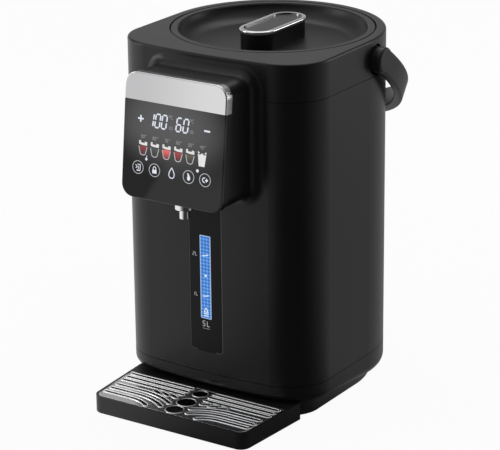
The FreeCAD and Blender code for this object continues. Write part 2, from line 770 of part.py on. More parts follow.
def level_feed_elbow():
    points = [V(0, GAUGE_FEED_Y, TANK_FLOOR_Z - 2), V(0, GAUGE_FEED_Y, GAUGE_FEED_Z),
              V(0, GAUGE_Y, GAUGE_FEED_Z), V(0, GAUGE_Y, GAUGE_Z[0])]
    return pipe(points, GAUGE_R, GAUGE_BORE_R, GAUGE_BEND_R)


def level_vent_elbow():
    points = [V(0, GAUGE_Y, GAUGE_Z[1]), V(0, GAUGE_Y, GAUGE_VENT_Z), V(0, -TANK_R, GAUGE_VENT_Z)]
    return pipe(points, GAUGE_R, GAUGE_BORE_R, GAUGE_BEND_R).cut(rod(TANK_OUT_R, 0, 0, 0, FAR))


def level_led_board():
    """A lamp strip seated on the casing wall beside the gauge tube."""
    z0, z1 = WINDOW_Z
    x0 = GAUGE_R + 1
    y0 = -FRONT_DEPTH + CASING_WALL + EASY_FIT
    return box(x0, x0 + LED_BOARD_W, y0, y0 + LED_BOARD_T, z0, z1)


# Control head

def tilted(shape):
    """Stand a shape, made flat on y=0 with its bottom at z=0, on the sloping front."""
    shape.rotate(V(0, 0, 0), X, -PANEL_TILT)
    shape.translate(V(0, HEAD_BOTTOM[0], HEAD_BOTTOM[1]))
    return shape


def unit_block(inset, y0, y1):
    face = rounded_rectangle(HEAD_W / 2 - inset, inset, PANEL_H - inset,
                             HEAD_CORNER_R - inset, y0)
    return face.extrude(V(0, y1 - y0, 0))


def unit_outside():
    block = unit_block(0, 0, UNIT_DEPTH)
    front = [e for e in block.Edges if e.BoundBox.YMax < 1e-4]
    return block.makeFillet(UNIT_EDGE_R, front)


def band_zone(y1, start):
    return box(-FAR, FAR, -1, y1, start, FAR)


def glass_zone():
    return box(-FAR, FAR, -1, GLASS_T, -FAR, BAND_START)


def control_glass():
    zone = box(-FAR, FAR, -1, GLASS_T, -FAR, BAND_START - FIT)
    return tilted(unit_outside().common(zone))


def head_band():
    shell = unit_outside().common(band_zone(UNIT_DEPTH, BAND_START))
    return tilted(shell.cut(unit_block(BAND_T, BAND_T, UNIT_DEPTH + 1)))


def head_front_frame():
    """The tray behind the glass, with a lip that meets the housing."""
    block = unit_outside().cut(glass_zone())
    upper = unit_block(BAND_T + RUN_FIT, BAND_T + RUN_FIT, UNIT_DEPTH + 1)
    block = block.cut(band_zone(UNIT_DEPTH + 1, BAND_START).cut(upper))
    lip = unit_block(LIP_T, UNIT_DEPTH - 1, UNIT_DEPTH + UNIT_GAP)
    block = joined([block, lip])
    hollow = unit_block(LIP_T + UNIT_WALL, GLASS_T + UNIT_WALL, FAR)
    return tilted(block.cut(hollow))


def display_board():
    y0 = GLASS_T + UNIT_WALL
    board = box(-DISPLAY_W / 2, DISPLAY_W / 2, y0, y0 + DISPLAY_T, DISPLAY_Z, DISPLAY_Z + DISPLAY_H)
    return tilted(board)


def before_housing():
    return tilted(box(-FAR, FAR, -FAR, UNIT_DEPTH + UNIT_GAP, -FAR, FAR))


def housing_block(inset, back_y):
    face = rounded_rectangle(HEAD_W / 2 - HOUSING_STEP - inset, HOUSING_BOTTOM_Z + inset,
                             HOUSING_TOP_Z - inset, HEAD_CORNER_R - inset, HEAD_BOTTOM[0] - 10)
    return face.extrude(V(0, back_y - HEAD_BOTTOM[0] + 10, 0)).cut(before_housing())


def head_housing():
    """A hollow block that flares out where it meets the round body."""
    body = slab(0, HOUSING_BOTTOM_Z - 40, HOUSING_TOP_Z + 40)
    block = joined([housing_block(0, -60), body])
    half = HEAD_W / 2 + 1
    root = [e for e in block.Edges
            if e.BoundBox.XMax < half and e.BoundBox.XMin > -half
            and e.BoundBox.YMin > -FRONT_DEPTH - 0.1
            and e.BoundBox.ZMin > HOUSING_BOTTOM_Z - 1 and e.BoundBox.ZMax < HOUSING_TOP_Z + 1]
    block = block.makeFillet(FLARE_R, root).cut(body)
    hollow = housing_block(HOUSING_WALL, -60)
    block = block.cut(hollow)
    bosses = []
    for x, z in head_screw_places():
        stem = bar(HEAD_BOSS_R, V(x, -FRONT_DEPTH - HEAD_BOSS_L, z), Y, HEAD_BOSS_L + 10)
        bosses.append(stem.cut(body))
    block = joined([block] + bosses)
    cuts = [bar(SCREW_R + 0.02, V(x, -FRONT_DEPTH - HEAD_BOSS_L + 3, z), Y, FAR)
            for x, z in head_screw_places()]
    cuts.append(rod(NOZZLE_SPIGOT_R + FIT, 0, NOZZLE_Y, 0, HOUSING_BOTTOM_Z + 20))
    return block.cut(cuts)


def head_screws():
    shapes = []
    for x, z in head_screw_places():
        drop = FRONT_ARC_R - sqrt(FRONT_ARC_R ** 2 - x ** 2)
        y = -FRONT_DEPTH + drop + CASING_WALL + 0.5
        head = bar(SCREW_HEAD_R, V(x, y, z), Y, SCREW_HEAD_H)
        shank = bar(SCREW_R, V(x, y - SCREW_L, z), Y, SCREW_L + 0.5)
        inside = slab(CASING_WALL, 0, FAR)
        shapes.append(joined([bar(SCREW_HEAD_R, V(x, y - 3, z), Y, 3.2).common(inside), head, shank]))
    return Part.makeCompound(shapes)


def turned_at_nozzle(points):
    """A solid turned round the nozzle's axis from radius and height."""
    shape = revolved(points)
    shape.translate(V(0, NOZZLE_Y, 0))
    return shape


def nozzle():
    z0 = NOZZLE_Z
    z1 = z0 + NOZZLE_TIP_H
    z2 = z1 + NOZZLE_TAPER_H
    z3 = HOUSING_BOTTOM_Z
    z4 = HOUSING_BOTTOM_Z + NOZZLE_SPIGOT_H
    return turned_at_nozzle([(NOZZLE_BORE_R, z0), (NOZZLE_TIP_R, z0), (NOZZLE_TIP_R, z1),
                             (NOZZLE_R, z2), (NOZZLE_R, z3), (NOZZLE_SPIGOT_R, z3),
                             (NOZZLE_SPIGOT_R, z4), (NOZZLE_BORE_R, z4)])


def nozzle_seal():
    z0 = HOUSING_BOTTOM_Z + HOUSING_WALL
    return turned_at_nozzle([(NOZZLE_SPIGOT_R + RUN_FIT, z0), (NOZZLE_SEAL_R, z0),
                             (NOZZLE_SEAL_R, z0 + NOZZLE_SEAL_T),
                             (NOZZLE_SPIGOT_R + RUN_FIT, z0 + NOZZLE_SEAL_T)])


# Lid

def lid_screw_places():
    return [(LID_SCREW_AT * sx, LID_SCREW_AT * sy) for sx in (-1, 1) for sy in (-1, 1)]


def lid_levels():
    """Height of the cover flange's underside and top."""
    low = SHELF_Z + SHELF_T
    return low, low + COVER_FLANGE_T


def lid_shell():
    low, seat = lid_levels()
    top = POT_H
    t = LID_T
    rise = (DISH_R - DISH_FLAT_R) / 2
    mid_r = DISH_FLAT_R + rise * 1.25
    mid_z = DISH_Z + (top - DISH_Z) * 0.30
    points = [(0, DISH_Z), (DISH_FLAT_R, DISH_Z), (mid_r, mid_z, DISH_R, top - 1.0),
              (DISH_R + 1.0, top), (LID_R - LID_EDGE_R, top), (LID_R, top - LID_EDGE_R),
              (LID_R, seat), (LID_R - LID_RIM_T, seat), (LID_R - LID_RIM_T, top - t - 1),
              (DISH_R + t, top - t - 1), (mid_r + t * 0.75, mid_z - t * 0.8, DISH_FLAT_R, DISH_Z - t),
              (0, DISH_Z - t)]
    shell = revolved(points)
    bosses = [rod(LID_BOSS_R, x, y, PLUG_Z + PLUG_WALL, DISH_Z - 1) for x, y in lid_screw_places()]
    shell = joined([shell] + bosses)
    cuts = [rod(SCREW_R + 0.02, x, y, 0, PLUG_Z + SCREW_L + 1) for x, y in lid_screw_places()]
    cuts += [rod(SCREW_R + FIT, 0, side * GRIP_SCREW_Y, 0, FAR) for side in (-1, 1)]
    return shell.cut(cuts)


def lid_inner_cover():
    low, seat = lid_levels()
    cover = revolved([(0, PLUG_Z), (PLUG_R, PLUG_Z), (PLUG_R, low), (LID_R, low), (LID_R, seat),
                      (PLUG_R - PLUG_WALL, seat), (PLUG_R - PLUG_WALL, PLUG_Z + PLUG_WALL),
                      (0, PLUG_Z + PLUG_WALL)])
    groove = ring(PLUG_R + 1, PLUG_R - 1.2, *GASKET_Z)
    holes = [rod(SCREW_R + FIT, x, y, 0, FAR) for x, y in lid_screw_places()]
    sinks = [rod(SCREW_HEAD_R + FIT, x, y, 0, PLUG_Z + 0.6) for x, y in lid_screw_places()]
    return cover.cut([groove] + holes + sinks)


def lid_gasket():
    return ring(GASKET_R, PLUG_R - 1.2, *GASKET_Z)


def lid_screws():
    return Part.makeCompound([screw(x, y, PLUG_Z + 0.6, True) for x, y in lid_screw_places()])


def grip_body():
    top = GRIP_TOP_Z - RING_H
    block = stadium(GRIP_HALF, GRIP_R - GRIP_STEP, DISH_Z, top)
    step_r = GRIP_R - RING_W - RUN_FIT
    step = stadium(GRIP_HALF, step_r, top - 0.5, GRIP_TOP_Z - INLAY_SUNK - INLAY_T)
    cuts = [rod(SCREW_R + 0.02, 0, side * GRIP_SCREW_Y, 0, DISH_Z + SCREW_L) for side in (-1, 1)]
    return joined([block, step]).cut(cuts)


def grip_ring():
    top = GRIP_TOP_Z
    block = stadium(GRIP_HALF, GRIP_R, top - RING_H, top)
    block = block.makeFillet(1.3, edges_at_height(block, top))
    return block.cut(stadium(GRIP_HALF, GRIP_R - RING_W, 0, FAR))


def grip_inlay():
    z1 = GRIP_TOP_Z - INLAY_SUNK
    return stadium(GRIP_HALF, GRIP_R - RING_W - RUN_FIT, z1 - INLAY_T, z1)


def grip_screws():
    z = DISH_Z - LID_T
    return Part.makeCompound([screw(0, side * GRIP_SCREW_Y, z, True) for side in (-1, 1)])


# Drip tray

def tray_prism(inset, front_y, back_y, z0, z1, corner):
    """The tray's plan, wider at the back, moved inwards by an inset."""
    slope = (TRAY_BACK_W - TRAY_FRONT_W) / 2 / (TRAY_BACK_Y - TRAY_FRONT_Y)
    half = lambda y: TRAY_FRONT_W / 2 + slope * (y - TRAY_FRONT_Y) - inset
    corners = [V(-half(front_y), front_y, z0), V(half(front_y), front_y, z0),
               V(half(back_y), back_y, z0), V(-half(back_y), back_y, z0),
               V(-half(front_y), front_y, z0)]
    prism = Part.Face(Part.makePolygon(corners)).extrude(V(0, 0, z1 - z0))
    uprights = [e for e in prism.Edges if e.BoundBox.ZLength > (z1 - z0) / 2
                and e.BoundBox.YMax < front_y + 1]
    return prism.makeFillet(corner, uprights)


def drip_tray():
    block = tray_prism(0, TRAY_FRONT_Y, TRAY_BACK_Y, TRAY_Z, TRAY_TOP_Z, TRAY_CORNER_R)
    block = block.makeFillet(1.0, edges_at_height(block, TRAY_Z))
    basin = tray_prism(TRAY_WALL, TRAY_FRONT_Y + TRAY_WALL, GRILLE_BACK_Y - 2,
                       TRAY_Z + TRAY_FLOOR, FAR, TRAY_CORNER_R - TRAY_WALL)
    seat = tray_prism(TRAY_RIM, TRAY_FRONT_Y + TRAY_RIM, GRILLE_BACK_Y + EASY_FIT,
                      LEDGE_Z, FAR, TRAY_CORNER_R - TRAY_RIM)
    under = tray_prism(TRAY_WALL, GRILLE_BACK_Y + 1, TRAY_BACK_Y - 2.5,
                       TRAY_Z - 1, TRAY_TOP_Z - 2.5, 1.0)
    tongues = []
    for side in (-1, 1):
        x = side * TONGUE_X
        tongues.append(box(x - TONGUE_W / 2, x + TONGUE_W / 2, TRAY_BACK_Y - 1,
                           TRAY_BACK_Y + TONGUE_L, TONGUE_Z, TONGUE_Z + TONGUE_H))
    return joined([block.cut([basin, seat, under])] + tongues)


def tray_pads():
    return Part.makeCompound([rod(TRAY_PAD_R, side * TRAY_PAD_X, TRAY_PAD_Y, 0, TRAY_Z)
                              for side in (-1, 1)])


def straight_slot(x0, x1, y, z0, z1):
    """A round-ended slot along X."""
    h = SLOT_W / 2
    edges = [
        Part.LineSegment(V(x1, y + h, z0), V(x0, y + h, z0)).toShape(),
        Part.Arc(V(x0, y + h, z0), V(x0 - h, y, z0), V(x0, y - h, z0)).toShape(),
        Part.LineSegment(V(x0, y - h, z0), V(x1, y - h, z0)).toShape(),
        Part.Arc(V(x1, y - h, z0), V(x1 + h, y, z0), V(x1, y + h, z0)).toShape(),
    ]
    return Part.Face(Part.Wire(edges)).extrude(V(0, 0, z1 - z0))


def curved_slot(y, end_x, end_y, z0, z1):
    """A slot that runs straight in from the side, then curves forward to its end."""
    bend_x, outer_x = CURVED_SLOT_X
    drop = y - end_y
    r = ((bend_x - end_x) ** 2 + drop ** 2) / (2 * drop)
    turn = atan2(bend_x - end_x, r - drop)
    h = SLOT_W / 2
    on = lambda radius, a: V(bend_x - radius * sin(a), y - r + radius * cos(a), z0)
    tip = on(r, turn) + V(-cos(turn), -sin(turn), 0) * h
    edges = [
        Part.LineSegment(V(outer_x, y + h, z0), V(bend_x, y + h, z0)).toShape(),
        Part.Arc(on(r + h, 0), on(r + h, turn / 2), on(r + h, turn)).toShape(),
        Part.Arc(on(r + h, turn), tip, on(r - h, turn)).toShape(),
        Part.Arc(on(r - h, turn), on(r - h, turn / 2), on(r - h, 0)).toShape(),
        Part.LineSegment(V(bend_x, y - h, z0), V(outer_x, y - h, z0)).toShape(),
        Part.Arc(V(outer_x, y - h, z0), V(outer_x + h, y, z0), V(outer_x, y + h, z0)).toShape(),
    ]
    return Part.Face(Part.Wire(edges)).extrude(V(0, 0, z1 - z0))


def drip_grille():
    z0 = LEDGE_Z
    z1 = z0 + GRILLE_T
    inset = TRAY_RIM + EASY_FIT
    plate = tray_prism(inset, TRAY_FRONT_Y + inset, GRILLE_BACK_Y, z0, z1,
                       TRAY_CORNER_R - inset)
    cuts = [rod(r, 0, y, z0 - 1, z1 + 1) for y, r in CUP_HOLES]
    for y in REAR_SLOT_YS:
        cuts += both_sides(straight_slot(REAR_SLOT_X[0], REAR_SLOT_X[1], y, z0 - 1, z1 + 1))
    for y, end_x, end_y in CURVED_SLOTS:
        cuts += both_sides(curved_slot(y, end_x, end_y, z0 - 1, z1 + 1))
    for x in DASH_XS:
        dash = straight_slot(x - DASH_L / 2, x + DASH_L / 2, DASH_Y, z0 - 1, z1 + 1)
        dash.rotate(V(x, DASH_Y, 0), Z, DASH_TURN)
        cuts += both_sides(dash)
    return plate.cut(cuts)


# Electronics and inlet

def board_corners():
    return [(sx * (BOARD_W / 2 - STANDOFF_INSET), BOARD_Y + sy * (BOARD_L / 2 - STANDOFF_INSET))
            for sx in (-1, 1) for sy in (-1, 1)]


def power_board():
    board = box(-BOARD_W / 2, BOARD_W / 2, BOARD_Y - BOARD_L / 2, BOARD_Y + BOARD_L / 2,
                BOARD_Z, BOARD_Z + BOARD_T)
    w, d, h = TRANSFORMER
    lump = box(-w - 4, -4, BOARD_Y - d / 2, BOARD_Y + d / 2, BOARD_Z + 1, BOARD_Z + BOARD_T + h)
    w, d, h = RELAY
    relay = box(10, 10 + w, BOARD_Y - d / 2, BOARD_Y + d / 2, BOARD_Z + 1, BOARD_Z + BOARD_T + h)
    return joined([board, lump, relay])


def board_standoffs():
    return Part.makeCompound([rod(STANDOFF_R, x, y, PAN_TOP_OF_FLOOR, BOARD_Z)
                              for x, y in board_corners()])


def inlet_block(shrink):
    w = INLET_W / 2 - shrink
    h = INLET_H / 2 - shrink
    return box(-w, w, BODY_R - INLET_DEPTH, FAR, INLET_Z - h, INLET_Z + h)


def power_inlet():
    """A mains socket, flush with the round back, with three pins in it."""
    block = inlet_block(FIT).common(slab(0, 0, FAR))
    flange = box(-INLET_W / 2 - 3, INLET_W / 2 + 3, BODY_R - 9, BODY_R - 5.5,
                 INLET_Z - INLET_H / 2 - 3, INLET_Z + INLET_H / 2 + 3)
    block = joined([block, flange.common(slab(CASING_WALL + FIT, 0, FAR))])
    w, h = SOCKET_W / 2, SOCKET_H / 2
    block = block.cut(box(-w, w, BODY_R - SOCKET_DEPTH, FAR, INLET_Z - h, INLET_Z + h))
    pins = []
    for x, z in ((-INLET_PIN_GAP, -1.5), (INLET_PIN_GAP, -1.5), (0, 3.0)):
        pins.append(bar(INLET_PIN_R, V(x, BODY_R - SOCKET_DEPTH - 1, INLET_Z + z), Y, INLET_PIN_L + 1))
    return joined([block] + pins)


NODES = [
    body_casing, upper_collar, base_housing, foot_pan, chassis_plate, rubber_feet, base_screws,
    inner_tank, tank_rim_seal, outlet_strainer, insulation_jacket, tank_supports,
    heater_plate, heater_element, heater_clamp, thermostats, temperature_sensor, thermal_fuse,
    pump_motor, pump_housing, pump_bracket, suction_hose, riser_hose, spout_pipe,
    level_tube, level_feed_elbow, level_vent_elbow, level_led_board, level_window,
    level_strip_panel, head_housing, head_front_frame, control_glass, head_band,
    display_board, head_screws, nozzle, nozzle_seal, power_board, board_standoffs, power_inlet,
    lid_shell, lid_inner_cover, lid_gasket, lid_screws, grip_body, grip_ring, grip_inlay,
    grip_screws, carry_handle, handle_pivot_pins, drip_tray, tray_pads, drip_grille,
]


def main():
    """Build every piece, centre the whole object over the origin and write the files."""
    os.makedirs("parts", exist_ok=True)
    shapes = {make.__name__: make() for make in NODES}
    low = shapes["drip_tray"].optimalBoundingBox(False, False).YMin
    high = shapes["carry_handle"].optimalBoundingBox(False, False).YMax
    shift = V(0, -(low + high) / 2, 0)
    print("shift in Y", round(shift.y, 4))
    for name, shape in shapes.items():
        shape.translate(shift)
        shape.exportStep("parts/" + name + ".step")
        box_size = shape.BoundBox
        print(name, len(shape.Solids), shape.isValid(), round(shape.Volume / 1000, 2),
              [round(v, 1) for v in (box_size.XLength, box_size.YLength, box_size.ZLength)])


main()
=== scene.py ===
# %% [markdown]
# # Dressing an electric thermo pot
# The pot comes to us as a set of solids in metres, each already in its place. In this lesson
# we light it, give every solid a finish of its own, and add the thin things that a solid model
# leaves out: the lit digits and icons behind the glass, the scale beside the level window and
# the rolled edges of the steel grille. We start by loading the solids.

# %% Load the solids
import bpy, bmesh, json, math
import numpy as np
from mathutils import Matrix, Vector


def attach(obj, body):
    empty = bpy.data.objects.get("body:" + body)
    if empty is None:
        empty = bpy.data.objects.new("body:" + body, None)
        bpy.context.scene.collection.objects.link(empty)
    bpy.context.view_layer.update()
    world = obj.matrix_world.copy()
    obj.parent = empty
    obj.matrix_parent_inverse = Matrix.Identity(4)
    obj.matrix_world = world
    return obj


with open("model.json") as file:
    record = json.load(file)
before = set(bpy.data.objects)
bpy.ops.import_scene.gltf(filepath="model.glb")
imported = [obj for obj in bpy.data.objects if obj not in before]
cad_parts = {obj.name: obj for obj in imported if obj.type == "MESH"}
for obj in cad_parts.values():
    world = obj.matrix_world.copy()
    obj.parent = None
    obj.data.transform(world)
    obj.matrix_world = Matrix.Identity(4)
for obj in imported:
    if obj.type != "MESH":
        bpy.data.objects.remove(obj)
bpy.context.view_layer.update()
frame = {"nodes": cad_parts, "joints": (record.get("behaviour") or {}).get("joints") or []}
nodes = frame["nodes"]
MM = 0.001
hinge = next(j for j in frame["joints"] if j["name"] == "handle_swing")
PIVOT_FROM_TANK = 12.0 * MM
TANK_Y = hinge["pos_m"][1] - PIVOT_FROM_TANK
print(len(nodes), "solids, tank axis at y =", round(TANK_Y, 5))

# %% [markdown]
# ## The camera
# A photograph can be matched by solving for the camera that puts the object's corners where
# they are seen. Here the answer is a long lens a little over two metres away, turned by a
# third of a right angle and raised by a fifth, with a trace of roll. We write these as angles
# and distances, and turn them into the camera's three axes.

# %% Make the camera
AZIMUTH = math.radians(33.39)
ELEVATION = math.radians(19.32)
ROLL = math.radians(0.59)
DISTANCE = 2.20287
FOCAL_PIXELS = 2322.92
FRAME_PIXELS = 500
SENSOR = 36.0
AIM_SIDE = -0.02303
AIM_HEIGHT = 0.14597

back = Vector((math.sin(AZIMUTH) * math.cos(ELEVATION),
               -math.cos(AZIMUTH) * math.cos(ELEVATION), math.sin(ELEVATION)))
level = Vector((math.cos(AZIMUTH), math.sin(AZIMUTH), 0))
upward = back.cross(level)
right = level * math.cos(ROLL) - upward * math.sin(ROLL)
over = level * math.sin(ROLL) + upward * math.cos(ROLL)
aim = level * AIM_SIDE + Vector((0, TANK_Y, AIM_HEIGHT))
camera = bpy.data.objects.new("camera", bpy.data.cameras.new("camera"))
bpy.context.scene.collection.objects.link(camera)
camera.data.sensor_width = SENSOR
camera.data.lens = FOCAL_PIXELS * SENSOR / FRAME_PIXELS
camera.data.clip_end = 50
turn = Matrix((right, over, back)).transposed().to_4x4()
camera.matrix_world = Matrix.Translation(aim + back * DISTANCE) @ turn
bpy.context.scene.camera = camera
bpy.context.scene.view_settings.view_transform = "Standard"
print("lens", round(camera.data.lens, 2), "mm, aimed at", [round(v, 4) for v in aim])

# %% [markdown]
# ## Shader sums in plain Python
# A procedural finish is a small sum done at each point of the surface. Wiring dozens of Math
# nodes by hand hides the sum, so we wrap a socket in a class whose operators add the nodes
# for us. Then `0.3 + 0.1 * grain` reads as what it is.

# %% A field, a tree of nodes and a finish
class Field:
    """A number that varies over a surface. Arithmetic on it adds Math nodes."""

    def __init__(self, owner, socket):
        self.owner = owner
        self.socket = socket

    def math(self, operation, first, second=None):
        values = {0: first} if second is None else {0: first, 1: second}
        return self.owner.node("ShaderNodeMath", {"operation": operation}, values)

    def __add__(self, other):
        return self.math("ADD", self, other)

    __radd__ = __add__

    def __sub__(self, other):
        return self.math("SUBTRACT", self, other)

    def __rsub__(self, other):
        return self.math("SUBTRACT", other, self)

    def __mul__(self, other):
        return self.math("MULTIPLY", self, other)

    __rmul__ = __mul__

    def __truediv__(self, other):
        return self.math("DIVIDE", self, other)

    def above(self, edge):
        return self.math("GREATER_THAN", self, edge)

    def most(self, other):
        return self.math("MAXIMUM", self, other)

    def wave(self):
        return self.math("SINE", self)

    def ease(self, low, high):
        """0 below low and 1 above high, with a smooth ramp between."""
        settings = {"interpolation_type": "SMOOTHSTEP"}
        ramp = {0: self, 1: low, 2: high, 3: 0.0, 4: 1.0}
        return self.owner.node("ShaderNodeMapRange", settings, ramp)


class NodeTree:
    """A tree of shader nodes, with one method that adds any node to it."""

    def __init__(self, tree):
        self.tree = tree

    def join(self, value, socket):
        """A field is linked to the socket, and a plain value is written on it."""
        if isinstance(value, Field):
            self.tree.links.new(value.socket, socket)
        else:
            socket.default_value = value

    def node(self, kind, settings, inputs, out=0):
        """Settings first, then the sockets, each given by its number or name."""
        made = self.tree.nodes.new(kind)
        for key, value in settings.items():
            setattr(made, key, value)
        for key, value in inputs.items():
            self.join(value, made.inputs[key])
        return Field(self, made.outputs[out])

    def along(self, place, way):
        """How far a place lies along a way: the dot product of the two."""
        dot = {"operation": "DOT_PRODUCT"}
        return self.node("ShaderNodeVectorMath", dot, {0: place, 1: way}, "Value")


class Finish(NodeTree):
    """A material and its main shader, with the place on the surface in x, y and z."""

    def __init__(self, name, colour, roughness, metallic=0.0, specular=0.5, coat=0.0, glow=0.0):
        self.material = bpy.data.materials.new(name)
        self.material.use_nodes = True
        super().__init__(self.material.node_tree)
        self.shader = self.tree.nodes["Principled BSDF"]
        self.colour = (*colour, 1.0)
        self.set("Base Color", self.colour)
        self.set("Roughness", roughness)
        self.set("Metallic", metallic)
        self.set("Specular IOR Level", specular)
        self.set("Coat Weight", coat)
        self.set("Emission Strength", glow)
        self.set("Emission Color", self.colour)
        self.where = self.node("ShaderNodeTexCoord", {}, {}, "Object")
        parts = self.tree.nodes.new("ShaderNodeSeparateXYZ")
        self.join(self.where, parts.inputs[0])
        self.x, self.y, self.z = (Field(self, s) for s in parts.outputs)

    def set(self, socket, value):
        self.join(value, self.shader.inputs[socket])
        return self

    def stretched(self, sx, sy, sz):
        """Object coordinates scaled along each axis."""
        return self.node("ShaderNodeMapping", {}, {"Vector": self.where, "Scale": (sx, sy, sz)})

    def grain(self, scale, detail=2.0, place=None):
        """Noise between 0 and 1, finer as the scale grows."""
        inputs = {"Vector": place or self.where, "Scale": scale, "Detail": detail}
        return self.node("ShaderNodeTexNoise", {}, inputs)

    def blend(self, share, first, second):
        """A colour between two others: the first at share 0 and the second at share 1."""
        first = first if isinstance(first, Field) else (*first, 1.0)
        second = second if isinstance(second, Field) else (*second, 1.0)
        return self.node("ShaderNodeMix", {"data_type": "RGBA"}, {0: share, 6: first, 7: second}, 2)

    def relief(self, height, depth, strength=0.5):
        """A fine relief: the height field raised by the depth in metres."""
        inputs = {"Strength": strength, "Distance": depth, "Height": height}
        return self.set("Normal", self.node("ShaderNodeBump", {}, inputs, "Normal"))


def tinted(finish, share, strength=0.12):
    """Let the base colour drift a little lighter where the share is high."""
    base = finish.colour[:3]
    light = [min(1.0, c * (1 + strength) + 0.002) for c in base]
    return finish.set("Base Color", finish.blend(share, base, light))

# %% [markdown]
# ## Finishes
# Nearly everything that shows is black, so the finishes differ in gloss and grain more than in
# colour: a satin lacquer on the steel casing, a finer satin on the moulded collar and head, a
# dry matte on the tray and pan. Each has a fine relief and a slow drift in roughness, which is
# what keeps a black object from looking like a hole in the picture.

# %% Black and dark finishes
def moulded(name, colour, roughness, grain_scale, depth, specular=0.4):
    """A plastic or lacquer: fine grain in the relief, slow drift in the roughness."""
    f = Finish(name, colour, roughness, specular=specular)
    drift = f.grain(14.0, 3.0)
    fine = f.grain(grain_scale, 3.0)
    f.set("Roughness", roughness - 0.03 + 0.06 * drift)
    f.relief(fine, depth, 0.35)
    return tinted(f, drift)


lacquer = moulded("satin_black_lacquer", (0.0042, 0.0042, 0.0045), 0.33, 1800.0, 0.00003, 0.34)
satin = moulded("satin_black_moulding", (0.0044, 0.0044, 0.0047), 0.35, 1500.0, 0.00004, 0.33)
matte = moulded("matte_black_moulding", (0.0065, 0.0065, 0.0069), 0.42, 1300.0, 0.00005, 0.5)
lid_finish = moulded("fine_matte_lid", (0.0055, 0.0055, 0.0058), 0.38, 1700.0, 0.00004, 0.34)
handle_finish = moulded("soft_black_handle", (0.008, 0.008, 0.0083), 0.42, 1200.0, 0.00005, 0.34)
strip_black = moulded("level_strip_black", (0.0030, 0.0030, 0.0034), 0.34, 1600.0, 0.00002, 0.16)
rubber = moulded("foot_rubber", (0.02, 0.02, 0.02), 0.7, 900.0, 0.0001, 0.3)
print("seven black finishes")

# %% [markdown]
# ## Metals
# The band, the grille, the ring on the lid's grip and the nozzle are bare metal. Metal has no
# colour of its own apart from what it mirrors, so its look comes from how sharp that mirror is.
# Long fine scratches blur it across the grain. On the brushed pieces we draw them as noise
# stretched about a hundred times along one axis; on the tank they are shorter and on the rest
# they have no direction. The band also has a painted shade: its colour is painted darker towards its left
# end.

# %% Metal finishes
def brushed(name, colour, roughness, streaks, depth):
    """Metal with fine scratches: noise that the three streak scales may stretch."""
    f = Finish(name, colour, roughness, metallic=1.0)
    lines = f.grain(1.0, 4.0, f.stretched(*streaks))
    f.set("Roughness", roughness - 0.05 + 0.1 * lines)
    f.relief(lines, depth, 0.3)
    return tinted(f, lines, 0.1)


ALONG_X = (30.0, 3500.0, 3500.0)
ALONG_Y = (3500.0, 30.0, 3500.0)
band_metal = brushed("brushed_band", (0.68, 0.68, 0.69), 0.24, ALONG_X, 0.00001)
# painted shade: the band's base colour is painted darker towards its left end
painted_band_shade = band_metal.x.ease(-0.05, 0.05)
band_metal.set("Base Color", band_metal.blend(painted_band_shade, (0.60, 0.60, 0.61), (0.80, 0.80, 0.81)))
chrome = brushed("bright_chrome", (0.84, 0.84, 0.85), 0.09, (60.0, 60.0, 60.0), 0.000004)
# painted highlight: the rolled lips are the grille's own steel, given a lighter base colour than the
# plate so they shine brighter
painted_bright_lip_steel = brushed("rolled_edge_steel", (0.93, 0.93, 0.94), 0.34, (60.0, 60.0, 60.0), 0.000004)
mirror_steel = brushed("polished_grille_steel", (0.84, 0.84, 0.85), 0.2, ALONG_X, 0.000006)
inlay_metal = brushed("dark_brushed_inlay", (0.05, 0.05, 0.053), 0.33, ALONG_Y, 0.00001)
tank_metal = brushed("satin_tank_steel", (0.6, 0.6, 0.61), 0.3, (400.0, 400.0, 3000.0), 0.00001)
screw_metal = brushed("plain_screw_steel", (0.5, 0.5, 0.51), 0.35, (900.0, 900.0, 900.0), 0.00001)
cast_metal = brushed("cast_heater_alloy", (0.55, 0.55, 0.56), 0.5, (700.0, 700.0, 700.0), 0.0001)
element_metal = brushed("heat_stained_element", (0.3, 0.26, 0.22), 0.45, (500.0, 500.0, 500.0), 0.00005)
print("nine metals")

# %% [markdown]
# ## Inner materials
# Hoses, felt, ceramic cut-outs and circuit boards only show when the pot is opened, but each
# still gets its own colour and grain. The boards are a sum of their own: tracks run where the
# product of two waves is high.

# %% Inner finishes
felt = moulded("grey_felt", (0.5, 0.48, 0.45), 0.95, 500.0, 0.0008, 0.1)
silicone = moulded("pale_silicone", (0.72, 0.72, 0.69), 0.45, 800.0, 0.00003)
pale_plastic = moulded("natural_plastic", (0.75, 0.75, 0.72), 0.45, 900.0, 0.00003)
ceramic = moulded("cream_ceramic", (0.8, 0.77, 0.7), 0.4, 700.0, 0.00004)


TRACKS = 900.0
TRACK_EDGE = 0.35


def circuit():
    """Green board lacquer with paler tracks where two waves cross."""
    f = Finish("green_circuit", (0.02, 0.16, 0.06), 0.35)
    tracks = ((f.x * TRACKS).wave() * ((f.y + f.z) * TRACKS).wave()).above(TRACK_EDGE)
    return f.set("Base Color", f.blend(tracks, (0.012, 0.11, 0.04), (0.05, 0.26, 0.1)))


board = circuit()
clear = Finish("clear_tube", (0.9, 0.94, 0.96), 0.06)
clear.set("Transmission Weight", 0.9)
clear.set("Roughness", 0.04 + 0.05 * clear.grain(60.0))
print("six inner materials")

# %% [markdown]
# ## The dark glass and the lit window
# The control glass is nearly black, with a painted glow in its upper middle and a painted
# slanting edge of light below it: the glass itself emits them, though it is no lamp. The level
# window is a blue light seen through a lens with a lattice of small diamonds. Both are plain
# functions of the place on the surface, so they stay put when the camera moves.

# %% Glass and window
# Centre of the painted glow on the control glass: the glass emits it, though it is no lamp.
PAINTED_GLASS_GLOW = (-0.004, TANK_Y - 0.162, 0.283)
DIAMOND = 0.0034


